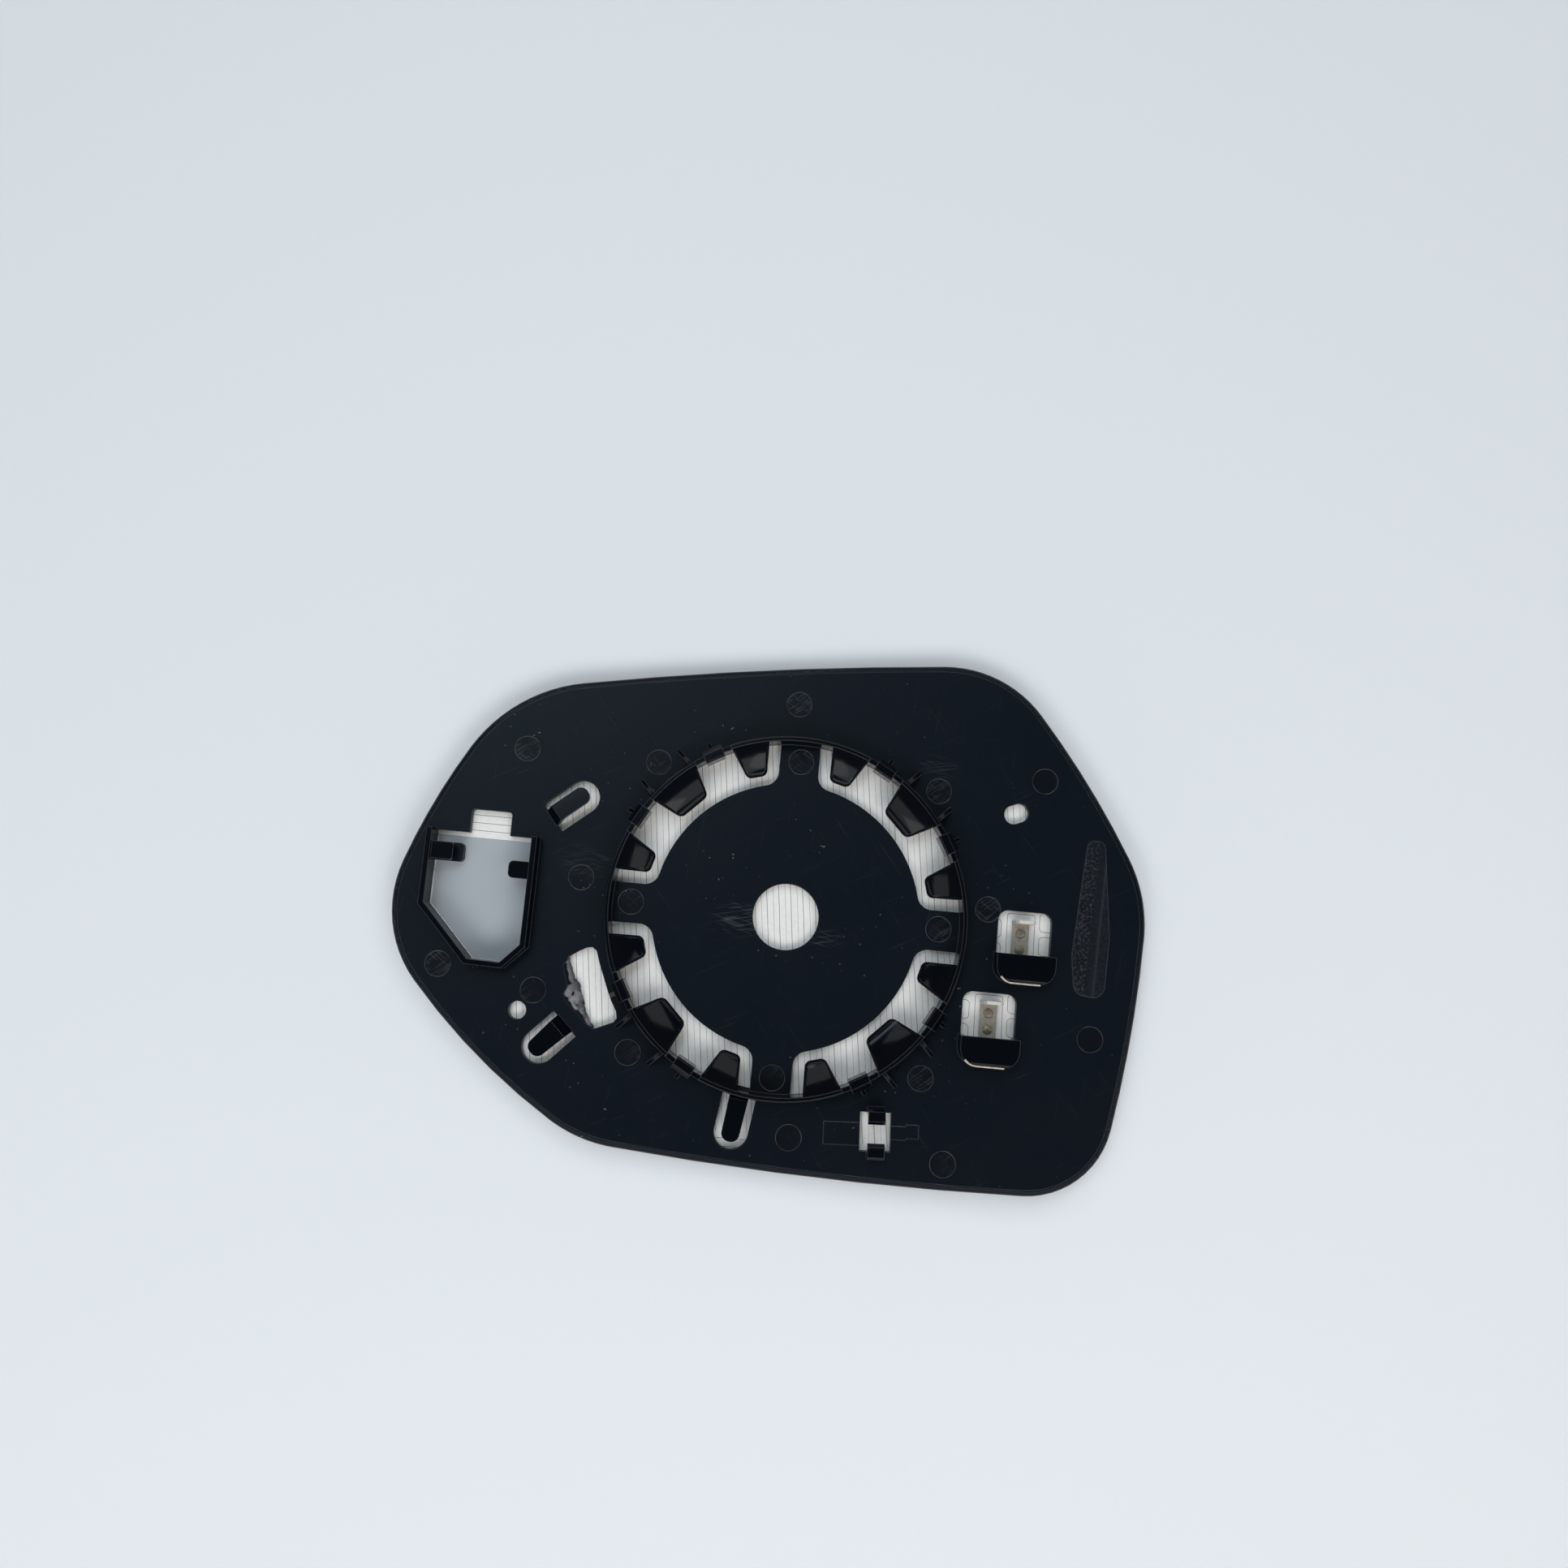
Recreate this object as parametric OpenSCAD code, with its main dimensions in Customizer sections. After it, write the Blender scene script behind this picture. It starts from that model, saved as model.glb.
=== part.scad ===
// Heated convex glass for a car door mirror, with its moulded backing plate.
// The part lies face down: the glass bulges towards -Z and the clip ring stands up towards +Z.
// The origin is the middle of the plate's centre hole, and the Z axis is the clip ring's axis.
// The outer tip of the mirror points to -X and the end next to the door points to +X.

/* [Outline] */
// Distance from the ring's axis to the outer tip
reach_tip = 95.8; // [92:0.1:110]
// Distance from the ring's axis to the end next to the door
reach_door = 87.6; // [82:0.1:100]
// Distance from the ring's axis to the upper edge
reach_top = 65.8; // [62:0.1:80]
// Distance from the ring's axis to the lower edge
reach_bottom = 61; // [60:0.1:75]
// Corner radius at the outer tip
tip_r = 29.5; // [25:0.1:32]
// Height of the tip corner's centre
tip_y = -3.7; // [-6:0.1:2]
// Corner radius above the tip
tip_upper_r = 38.8; // [34:0.1:42]
// Distance that this corner is set in from the tip
tip_upper_in = 9.2; // [7:0.1:12]
// Distance that this corner lies under the upper edge
tip_upper_drop = 11.8; // [9:0.1:14]
// Corner radius below the tip
tip_lower_r = 36.2; // [30:0.1:40]
// Distance that this corner is set in from the tip
tip_lower_in = 26.2; // [22:0.1:30]
// Distance that this corner lies above the lower edge
tip_lower_rise = 2.3; // [0.5:0.1:4]
// Radius of the upper corner at the door end
door_upper_r = 29.6; // [24:0.1:34]
// Distance that this corner is set in from the door end
door_upper_in = 21.5; // [18:0.1:25]
// Radius of the blunt corner in the middle of the door end
door_mid_r = 36.2; // [30:0.1:42]
// Height of the blunt corner's centre
door_mid_y = 3.8; // [0:0.1:8]
// Radius of the lower corner at the door end
door_lower_r = 21.5; // [16:0.1:26]
// Distance that this corner is set in from the door end
door_lower_in = 5; // [3:0.1:8]
// Bulge radius of the upper edge
top_bulge_r = 798; // [500:1:1500]
// Bulge radius of the lower edge
bottom_bulge_r = 767; // [500:1:1500]
// Bulge radius of the sloping edge above the tip
tip_upper_bulge_r = 152; // [130:1:300]
// Bulge radius of the sloping edge below the tip
tip_lower_bulge_r = 160; // [130:1:300]
// Bulge radius of the edge in the upper part of the door end
door_upper_bulge_r = 219; // [180:1:400]
// Bulge radius of the edge in the lower part of the door end
door_lower_bulge_r = 295; // [200:1:500]

/* [Layers] */
// Radius of the convex glass
glass_r = 1260; // [1000:10:2000]
// Thickness of the glass
glass_t = 2; // [1.6:0.1:2.4]
// Thickness of the heater foil with its adhesive
foil_t = 0.3; // [0.2:0.05:0.5]
// Thickness of the backing plate
plate_t = 2; // [1.8:0.1:2.6]
// Width of the black rim seen round the glass
rim_w = 2.3; // [2.1:0.1:3]
// Height that the rim stands proud of the glass face
rim_proud = 0.3; // [0.1:0.05:0.5]
// Gap between the glass edge and the rim
glass_gap = 0.15; // [0.1:0.05:0.25]
// Distance that the foil ends inside the rim
foil_in = 0.6; // [0.4:0.1:1.5]
// Size of the rounding along the back edge
back_round = 1.6; // [1.4:0.1:1.8]

/* [Clip ring] */
// Outer radius of the ring wall
ring_ro = 43.8; // [41:0.1:45]
// Thickness of the ring wall
ring_t = 1.2; // [1:0.1:1.6]
// Height of the ring wall above the plate
ring_h = 6.5; // [5.5:0.1:8]
// Drop of the thin bands below the ring wall's top
band_drop = 1.3; // [0.8:0.1:2]
// Half angle of each tall wall arc
wall_half = 23.2; // [22:0.1:25]
// Radius of the round middle web
web_r = 32.8; // [30:0.1:33]
// Width of the four bridges
bridge_w = 9.8; // [8:0.1:11]
// Corner radius of the cut-outs between the bridges
cut_r = 3.6; // [2:0.1:4]
// Diameter of the centre hole
centre_d = 16.2; // [12:0.1:20]
// Distance from the axis to the hook tips
hook_tip = 34.9; // [34:0.1:36]
// Height of the hook's flat underside above the plate
hook_gap = 1.2; // [0.8:0.1:1.6]
// Height of the hook's tip
hook_nose = 2; // [1.6:0.1:2.6]
// Slope of the hook's top where it ends at the tip
hook_slope = 14; // [8:1:20]
// Half width of a broad hook at the wall
broad_root = 6.8; // [6:0.1:7.2]
// Half width of a broad hook at its tip
broad_tip = 4.2; // [3.5:0.1:4.6]
// Half angle of the wall behind a broad hook
broad_wall = 9.3; // [9:0.1:10]
// Reach of a narrow hook towards the bridge at the wall
narrow_near = 4.1; // [3.5:0.1:4.3]
// Reach of a narrow hook away from the bridge at the wall
narrow_far = 6.1; // [5:0.1:6.3]
// Reach of a narrow hook towards the bridge at its tip
narrow_tip_near = 1.65; // [1.3:0.05:2]
// Reach of a narrow hook away from the bridge at its tip
narrow_tip_far = 3.2; // [2.6:0.1:3.6]
// Angle from a bridge to the narrow hook beside it
narrow_turn = 15.5; // [15:0.1:16]
// Rounding of the hook corners
hook_round = 1.5; // [0.8:0.1:1.6]
// Length of the horns behind a broad hook
horn_l = 4.6; // [3:0.1:6]
// Distance of the horns from the hook's middle
horn_y = 5.8; // [5:0.1:6.2]
// Thickness of horns and small ribs
rib_t = 0.9; // [0.7:0.1:1.2]
// Angle from a broad hook to the guide block beside it
block_turn = 15.75; // [15.5:0.05:16]
// Width of a guide block
block_w = 4.9; // [4:0.1:5.2]
// Depth of a guide block
block_d = 3.3; // [2.8:0.1:3.8]
// Size of the bevel along a guide block's outer edge
block_bevel = 1.2; // [0.6:0.1:1.4]

/* [Module pocket] */
// Distance from the tip end to the pocket's outer wall
pocket_in = 7.8; // [7:0.1:10]
// Width of the pocket outside
pocket_w = 26.4; // [24:0.1:27]
// Height of the pocket's open end above the ring's axis
pocket_y = 13.7; // [12:0.1:14]
// Height of the corner below the pocket's outer wall
pocket_outer_y = -4.9; // [-6:0.1:-3]
// Height of the pocket's lower end
pocket_low_y = -18.1; // [-19:0.1:-17]
// Width of the pocket's slanting outer wall
pocket_slant = 12.4; // [10:0.1:14]
// Width of the bevelled corner at the pocket's lower end
pocket_bevel = 5.1; // [4:0.1:7]
// Height of the corner below the pocket's inner wall
pocket_inner_y = -13; // [-14:0.1:-11]
// Distance that the outer snap arm's lower edge lies under the open end
arm_drop = 7.4; // [7:0.1:9]
// Step from the outer snap arm down to the inner one
arm_step = 3; // [2:0.1:4]
// Thickness of the pocket wall
pocket_t = 1.3; // [1:0.1:1.6]
// Height of the pocket wall above the plate
pocket_h = 5; // [4:0.1:6]
// Width of the notch above the pocket
notch_w = 9.8; // [8:0.1:11]
// Depth of the notch above the pocket
notch_d = 5.6; // [4:0.1:6]
// Reach of the outer snap arm
outer_arm = 5.2; // [4:0.1:6]
// Reach of the inner snap arm
inner_arm = 5; // [4:0.1:6]
// Width of the snap arms
arm_w = 4.2; // [3.5:0.1:4.6]
// Thickness of the snap arms
arm_t = 1.3; // [1:0.1:1.6]

/* [Cable fingers] */
// Half width of a finger's slot
slot_r = 4.1; // [3.8:0.1:4.4]
// Width of the fingers
finger_w = 4.3; // [3.8:0.1:4.8]
// Thickness of the fingers
finger_t = 1.4; // [1.2:0.1:1.6]
// Height of a finger's underside above the plate
finger_lift = 1.5; // [1.2:0.1:2]

/* [Terminals] */
// Distance from the ring's axis to the upper terminal's window
upper_x = 58.4; // [57.5:0.1:60]
// Height of the upper window's top edge
upper_y = 6.5; // [5.5:0.1:8]
// Distance from the ring's axis to the lower terminal's window
lower_x = 51.2; // [51:0.1:54]
// Height of the lower window's top edge
lower_y = -13.8; // [-15:0.1:-13.5]
// Width of a terminal window
window_w = 13; // [12:0.1:13.2]
// Visible length of a terminal window
window_l = 10.4; // [9:0.1:11]
// Corner radius of the windows
window_r = 2.4; // [1.5:0.1:3]
// Width of the hoods
hood_w = 14.2; // [13.8:0.1:15]
// Length of the hoods
hood_l = 7.1; // [6.5:0.1:7.6]
// Height of the hoods above the plate
hood_h = 5.6; // [5:0.1:7]
// Wall thickness of the hoods
hood_t = 1.2; // [1:0.1:1.5]
// Width of a terminal's foot strip
strip_w = 4.1; // [3.6:0.1:4.6]
// Length of a terminal's foot strip
strip_l = 11.4; // [10:0.1:12]
// Sideways place of the upper terminal in its window
upper_shift = -0.7; // [-1:0.1:0.5]
// Sideways place of the lower terminal in its window
lower_shift = 0.1; // [-0.8:0.1:0.8]
// Distance from the upper window's top edge to the blade
upper_blade_in = 2.3; // [1.8:0.1:2.8]
// Distance from the lower window's top edge to the blade
lower_blade_in = 1.9; // [1.6:0.1:2.8]
// Distance from the blade to the first rivet's middle
rivet_in = 3.1; // [2.6:0.1:3.4]
// Thickness of the terminal sheet
strip_t = 0.8; // [0.6:0.1:1]
// Width of the terminal blades
blade_w = 4.8; // [4.8:0.1:6.3]
// Height of the terminal blades above the foil
blade_h = 8; // [6.5:0.1:9]
// Diameter of the rivet heads
rivet_d = 2.4; // [2:0.1:2.8]
// Diameter of the rivet shanks
shank_d = 1.5; // [1.2:0.1:1.7]
// Spacing of a terminal's two rivets
rivet_pitch = 3.9; // [3.6:0.1:4.4]

/* [Cable clip] */
// Place of the cable clip along X
clip_x = 26; // [24:0.1:28]
// Distance from the ring's axis to the clip's middle
clip_y = 49.2; // [49:0.1:50]
// Turn of the clip against the X axis
clip_turn = 2.7; // [0:0.1:5]
// Width of the clip's opening
clip_w = 7.4; // [6.5:0.1:8]
// Length of the clip's opening
clip_l = 9.2; // [8.8:0.1:9.4]
// Width of the two clip hooks
clip_hook_w = 4.1; // [3:0.1:5]
// Height of the two clip hooks above the plate
clip_hook_h = 4.6; // [3.5:0.1:5.5]
// Depth of the shallow beds for the cable
bed_depth = 0.25; // [0.1:0.05:0.4]

/* [Holes] */
// Diameter of the small round hole
pin_hole_d = 4.3; // [3:0.1:5]
// Place of the small round hole along X
pin_hole_x = -62.6; // [-64:0.1:-62]
// Place of the small round hole along Y
pin_hole_y = -28.2; // [-30:0.1:-28]
// Width of the oval hole
oval_w = 4.6; // [3.5:0.1:5.5]
// Length of the oval hole
oval_l = 6; // [5.8:0.1:7]
// Place of the oval hole along X
oval_x = 54.4; // [52:0.1:56]
// Place of the oval hole along Y
oval_y = 30.3; // [28:0.1:32]
// Turn of the oval hole
oval_turn = 22; // [0:1:45]

/* [Marks] */
// Diameter of the ejector pins' marks
mark_d = 6.2; // [5:0.1:6.4]
// Depth of the ejector pins' marks
mark_depth = 0.15; // [0.1:0.05:0.3]
// Rise of the rough patch near the door end
patch_rise = 0.25; // [0.1:0.05:0.4]

/* [Hidden] */
BLACK = [0.06, 0.07, 0.09];
SILVER = [0.86, 0.86, 0.84];
MIRROR = [0.75, 0.79, 0.83];
TIN = [0.70, 0.66, 0.58];

// Levels above the glass face, measured along the glass's radius
FOIL_V = glass_t;
PLATE_V = glass_t + foil_t;
BACK_V = PLATE_V + plate_t;
// How deep the raised features are rooted in the plate
ROOT = plate_t / 2;
// Room above everything, for cuts and trimmed prisms
TALL = 30;
// Steps of a rounded corner
STEPS = 8;
CORNER_STEPS = 12;
SIDE_STEPS = 5;

// Corners of the outline as [x, y, radius], anticlockwise from the lower door end
CORNERS = [
  [reach_door - door_lower_in - door_lower_r, door_lower_r - reach_bottom, door_lower_r],
  [reach_door - door_mid_r, door_mid_y, door_mid_r],
  [reach_door - door_upper_in - door_upper_r, reach_top - door_upper_r, door_upper_r],
  [tip_upper_r + tip_upper_in - reach_tip, reach_top - tip_upper_drop - tip_upper_r, tip_upper_r],
  [tip_r - reach_tip, tip_y, tip_r],
  [tip_lower_r + tip_lower_in - reach_tip, tip_lower_r + tip_lower_rise - reach_bottom, tip_lower_r]
];
// Bulge radii of the edges that follow each corner
BULGES = [door_lower_bulge_r, door_upper_bulge_r, top_bulge_r,
          tip_upper_bulge_r, tip_lower_bulge_r, bottom_bulge_r];

function flat(p) = [p[0], p[1]];
function dir(a) = [cos(a), sin(a)];
function bearing(p) = atan2(p[1], p[0]);
function after(a, b) = b < a ? b + 360 : b;

// Centre of the edge arc of radius r that touches the corner circles a and b
function edge_centre(a, b, r) =
  let (run = flat(b) - flat(a), l = norm(run), u = run / l,
       ra = r - a[2], rb = r - b[2],
       along = (ra * ra - rb * rb + l * l) / (2 * l))
  flat(a) + u * along + [-u[1], u[0]] * sqrt(ra * ra - along * along);

EDGES = [for (i = [0:5]) edge_centre(CORNERS[i], CORNERS[(i + 1) % 6], BULGES[i])];

// Stations round the outline as [centre x, centre y, radius, bearing]
function stations(corner_steps, side_steps) = [for (i = [0:5])
  let (c = CORNERS[i], n = CORNERS[(i + 1) % 6],
       a0 = bearing(flat(c) - EDGES[(i + 5) % 6]),
       a1 = after(a0, bearing(flat(c) - EDGES[i])),
       a2 = after(a1, bearing(flat(n) - EDGES[i])))
  each concat(
    [for (k = [0:corner_steps]) [c[0], c[1], c[2], a0 + (a1 - a0) * k / corner_steps]],
    [for (k = [1:side_steps - 1])
      [EDGES[i][0], EDGES[i][1], BULGES[i], a1 + (a2 - a1) * k / side_steps]])];
STATIONS = stations(CORNER_STEPS, SIDE_STEPS);
CORE_STATIONS = stations(CORNER_STEPS - 3, SIDE_STEPS + 1);

// The outline moved inwards by d, which keeps every arc's centre
function inset(s, d) = [s[0], s[1]] + dir(s[3]) * (s[2] - d);
function outline(d) = [for (s = CORE_STATIONS) inset(s, d)];

// Height of level v over the point x, y
function bowl(x, y, v) = glass_r - sqrt(pow(glass_r - v, 2) - x * x - y * y);

// Height of the plate's back at the clip ring
RING_Z = bowl(ring_ro, 0, BACK_V);
RING_RI = ring_ro - ring_t;
// Where hooks and horns are rooted inside the ring wall
HOOK_BACK = RING_RI + ring_t * 0.3;
// Size of the small bevels along the ring wall's top and on the hooks' noses
SOFT = 0.3;
// The hook's top runs from the wall's bevel to its nose, and flattens on the way
HOOK_RUN = RING_RI - hook_tip - 2 * SOFT;
HOOK_DROP = ring_h - SOFT - hook_nose - 2 * SOFT;
HOOK_CURVE = (HOOK_DROP - HOOK_RUN * tan(hook_slope)) / (HOOK_RUN * HOOK_RUN);
HOOK_TOP = [for (k = [0:6]) let (s = HOOK_RUN * (1 - k / 6))
  [hook_tip + 2 * SOFT + s, hook_nose + 2 * SOFT + s * tan(hook_slope) + s * s * HOOK_CURVE]];

// Polygon from corners given as [x, y, radius]
function turned(p, q, s, r) =
  let (a = (flat(p) - flat(q)) / norm(flat(p) - flat(q)),
       b = (flat(s) - flat(q)) / norm(flat(s) - flat(q)),
       half = acos(a * b) / 2,
       c = flat(q) + (a + b) / norm(a + b) * r / sin(half),
       a0 = bearing(flat(q) + a * r / tan(half) - c),
       a1 = bearing(flat(q) + b * r / tan(half) - c),
       sweep = (a1 - a0 + 540) % 360 - 180)
  [for (k = [0:STEPS]) c + dir(a0 + sweep * k / STEPS) * r];
function rounded(pts) =
  let (n = len(pts))
  [for (i = [0:n - 1]) each
    pts[i][2] > 0
      ? turned(pts[(i + n - 1) % n], pts[i], pts[(i + 1) % n], pts[i][2])
      : [flat(pts[i])]];
// A convex polygon moved inwards by d
function shrunk(pts, d) =
  let (n = len(pts))
  [for (i = [0:n - 1])
    let (p = flat(pts[(i + n - 1) % n]), q = flat(pts[i]), s = flat(pts[(i + 1) % n]),
         a = (p - q) / norm(p - q), b = (s - q) / norm(s - q))
    q + (a + b) / norm(a + b) * d / sin(acos(a * b) / 2)];

// The ball whose skin is level v, and the shell between two levels
module ball(v) {
  translate([0, 0, glass_r]) rotate([90, 0, 0]) sphere(r = glass_r - v, $fn = 360);
}
module layer(v0, v1) {
  intersection() {
    linear_extrude(TALL) children();
    difference() {
      ball(v0);
      ball(v1);
    }
  }
}

// Puts a feature on the plate's back at x, y, turned by a
module seat(x, y, a = 0) {
  translate([x, y, bowl(x, y, BACK_V)]) rotate([0, 0, a]) children();
}
// Extrudes a side profile drawn as (along X, up Z) over y0 to y1
module slab(y0, y1) {
  translate([0, y1, 0]) rotate([90, 0, 0]) linear_extrude(y1 - y0) children();
}

// Fine step where the rounded edge meets the flat back
EDGE_STEP = 0.08;

// Cross-section of the rim as [distance in from the outline, level]
RIM = [
  [rim_w, 0], [rim_w, BACK_V - plate_t * 0.7], [back_round + 0.5, BACK_V - EDGE_STEP],
  [back_round - 0.35, BACK_V - EDGE_STEP], [back_round * 0.5, BACK_V - 0.22],
  [back_round * 0.25, BACK_V - 0.55], [back_round * 0.07, BACK_V - 1.05], [0, BACK_V - 1.7],
  [0, 1.2], [0.15, 0.5], [0.45, 0], [0.9, -rim_proud], [rim_w - 0.3, -rim_proud]
];

module rim() {
  m = len(RIM);
  n = len(STATIONS);
  pts = [for (s = STATIONS) for (p = RIM)
    let (q = inset(s, p[0])) [q[0], q[1], bowl(q[0], q[1], p[1])]];
  faces = [for (i = [0:n - 1]) for (j = [0:m - 1])
    let (a = i * m + j, b = i * m + (j + 1) % m,
         c = ((i + 1) % n) * m + (j + 1) % m, d = ((i + 1) % n) * m + j)
    each [[a, c, b], [a, d, c]]];
  polyhedron(pts, faces);
}

// One of the four cut-outs between the bridges, in the quarter from 0 to 90 degrees
module quarter_cut() {
  half = bridge_w / 2;
  outer = RING_RI + ring_t / 2;
  cx = sqrt(pow(web_r + cut_r, 2) - pow(half + cut_r, 2));
  near = bearing([cx, half + cut_r]);
  edge = asin(half / outer);
  lower = [for (k = [0:STEPS])
    [cx, half + cut_r] + dir(near - 180 - (near - 90) * k / STEPS) * cut_r];
  upper = [for (k = [STEPS:-1:0]) [lower[k][1], lower[k][0]]];
  arc_out = [for (k = [0:2 * STEPS]) dir(edge + (90 - 2 * edge) * k / (2 * STEPS)) * outer];
  arc_in = [for (k = [1:2 * STEPS - 1])
    dir(90 - near + (2 * near - 90) * k / (2 * STEPS)) * web_r];
  polygon(concat(arc_out, upper, arc_in, lower));
}

// A stadium-shaped slot with a square root, pointing to +X
module slot_plan(l) {
  polygon(concat([[0, -slot_r]], [for (k = [0:2 * STEPS])
    [l, 0] + dir(-90 + 180 * k / (2 * STEPS)) * slot_r], [[0, slot_r]]));
}

// Cable fingers as [tip centre x, y, direction, slot length, root width]
FINGERS = [
  [-52.4, 24.7, 40, 8.9, finger_w],
  [-56.5, -36.3, -133.5, 8.1, finger_w + 1],
  [-8.5, -52.3, -98.4, norm([8.5, 52.3]) - ring_ro + ring_t / 2, finger_w + 0.4]
];
module at_finger(f) {
  root = [f[0], f[1]] - dir(f[2]) * f[3];
  translate([root[0], root[1], 0]) rotate([0, 0, f[2]]) children();
}

// A finger rises steeply from its root and then runs level, with a round tip
module finger(f) {
  root = [f[0], f[1]] - dir(f[2]) * f[3];
  reach = f[3] + finger_w / 2 - 0.2;
  seat(root[0], root[1], f[2]) intersection() {
    slab(-slot_r, slot_r) polygon([
      [-1.2, -ROOT], [0.2, -ROOT], [2.8, finger_lift], [TALL, finger_lift],
      [TALL, finger_lift + finger_t], [1.6, finger_lift + finger_t], [-0.4, -0.1], [-1.2, -0.1]]);
    translate([0, 0, -TALL / 2]) linear_extrude(TALL) polygon(rounded([
      [-1.2, -f[4] / 2, 0], [0, -f[4] / 2, 0], [reach, -finger_w / 2, finger_w * 0.46],
      [reach, finger_w / 2, finger_w * 0.46], [0, f[4] / 2, 0], [-1.2, f[4] / 2, 0]]));
  }
}

// Hooks: a sloping top for the mating collar to slide over, and a flat underside behind the nose
module hook(plan) {
  translate([0, 0, RING_Z]) intersection() {
    slab(-2 * broad_root, 2 * broad_root) polygon(concat(
      [[HOOK_BACK, ring_h - SOFT]], HOOK_TOP,
      [[hook_tip + SOFT / 2, hook_nose + SOFT], [hook_tip, hook_nose - SOFT / 2],
       [hook_tip, hook_gap], [hook_tip + 2.8, hook_gap], [HOOK_BACK, ring_h * 0.45]]));
    translate([0, 0, -1]) linear_extrude(TALL) polygon(rounded(plan));
  }
}
BROAD = [[HOOK_BACK + 1, -broad_root - 0.5, 0], [HOOK_BACK + 1, broad_root + 0.5, 0],
         [hook_tip, broad_tip, hook_round], [hook_tip, -broad_tip, hook_round]];
NARROW = [[HOOK_BACK + 1, -narrow_near, 0], [HOOK_BACK + 1, narrow_far, 0],
          [hook_tip, narrow_tip_far, hook_round], [hook_tip, -narrow_tip_near, hook_round * 0.6]];

module horn() {
  translate([0, 0, RING_Z]) slab(-rib_t / 2, rib_t / 2) polygon([
    [HOOK_BACK, -ROOT * 0.8], [ring_ro + horn_l, -ROOT * 0.8], [ring_ro + horn_l, 0.7],
    [ring_ro + 1, ring_h - 1.2], [HOOK_BACK, ring_h - 0.1]]);
}

module guide_block() {
  inner = ring_ro - ring_t / 2 - block_d / 2;
  outer = inner + block_d;
  translate([0, 0, RING_Z]) {
    slab(-block_w / 2, block_w / 2) polygon([
      [inner, 0.8], [inner + 0.8, -ROOT * 0.6], [outer, -ROOT * 0.6], [outer, ring_h - block_bevel],
      [outer - block_bevel, ring_h + 0.1], [inner + SOFT, ring_h + 0.1], [inner, ring_h - SOFT]]);
    slab(-rib_t / 2, rib_t / 2) polygon([
      [outer - 0.5, -ROOT * 0.8], [outer + 1.9, -ROOT * 0.8],
      [outer + 1.9, 0.5], [outer - 0.5, ring_h - 2.2]]);
  }
}

// The wall stands at full height beside the bridges and behind the broad hooks
module ring_wall() {
  band = (90 - 2 * wall_half - 2 * broad_wall) / 2;
  translate([0, 0, RING_Z]) difference() {
    rotate_extrude($fn = 180) polygon([
      [RING_RI, -ROOT], [ring_ro, -ROOT], [ring_ro, ring_h - SOFT],
      [ring_ro - SOFT, ring_h], [RING_RI + SOFT / 2, ring_h], [RING_RI, ring_h - SOFT / 2]]);
    for (q = [45:90:315]) for (side = [-1, 1])
      rotate([0, 0, q + side * (broad_wall + band / 2)])
        translate([RING_RI - 1, -ring_ro * sin(band / 2), ring_h - band_drop])
          cube([ring_t + 2, 2 * ring_ro * sin(band / 2), TALL]);
  }
}

module clip_ring() {
  ring_wall();
  for (q = [0:90:270]) {
    rotate([0, 0, q + 45]) {
      hook(BROAD);
      for (y = [-horn_y, horn_y]) translate([0, y, 0]) horn();
      for (a = [-block_turn, block_turn]) rotate([0, 0, a]) guide_block();
    }
    rotate([0, 0, q + narrow_turn]) hook(NARROW);
    rotate([0, 0, q]) mirror([0, 1, 0]) rotate([0, 0, narrow_turn]) hook(NARROW);
  }
}

// Pocket for a small lamp module: five walls, open towards the upper edge
POCKET_X = pocket_in - reach_tip;
POCKET = [
  [POCKET_X, pocket_y], [POCKET_X, pocket_outer_y], [POCKET_X + pocket_slant, pocket_low_y],
  [POCKET_X + pocket_w - pocket_bevel, pocket_low_y - 0.3], [POCKET_X + pocket_w, pocket_inner_y],
  [POCKET_X + pocket_w, pocket_y]
];
// The same corners with the open end carried past the walls
POCKET_LONG = [for (p = POCKET) p[1] > 0 ? [p[0], p[1] + 5] : p];
NOTCH_X = POCKET_X + 14;
ARM_Y = pocket_y - arm_drop;

module pocket_clear(top, grow) {
  intersection() {
    polygon(shrunk(POCKET_LONG, pocket_t - grow));
    translate([POCKET_X, top - 2 * TALL]) square([pocket_w, 2 * TALL]);
  }
}
// Tab of plate that stays under the outer snap arm
module floor_tab() {
  polygon(rounded([
    [POCKET_X, ARM_Y - 0.2, 0], [POCKET_X + 8.2, ARM_Y - 0.2, 1],
    [POCKET_X + 8.2, ARM_Y + arm_w + 0.2, 1], [POCKET_X, ARM_Y + arm_w + 0.2, 0]]));
}
module pocket_window() {
  difference() {
    union() {
      pocket_clear(pocket_y - 0.2, 0.25);
      polygon(rounded([
        [NOTCH_X - notch_w / 2, pocket_y - 3, 0], [NOTCH_X + notch_w / 2, pocket_y - 3, 0],
        [NOTCH_X + notch_w / 2, pocket_y + notch_d, 0.9],
        [NOTCH_X - notch_w / 2, pocket_y + notch_d, 0.9]]));
    }
    floor_tab();
  }
}
module arm_plan(reach, r) {
  polygon(rounded([
    [pocket_t / 2, 0, 0], [pocket_t + reach, 0, r],
    [pocket_t + reach, arm_w, r], [pocket_t / 2, arm_w, 0]]));
}
module pocket() {
  layer(PLATE_V + ROOT, BACK_V + pocket_h) difference() {
    polygon(POCKET);
    pocket_clear(pocket_y + 1, 0);
  }
  // Outer and inner snap arms
  layer(BACK_V + pocket_h - 2 * arm_t, BACK_V + pocket_h - arm_t) {
    translate([POCKET_X, ARM_Y]) arm_plan(outer_arm, 0.8);
    translate([POCKET_X + pocket_w, ARM_Y - arm_step]) mirror([1, 0]) arm_plan(inner_arm, 1.2);
  }
}

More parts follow.
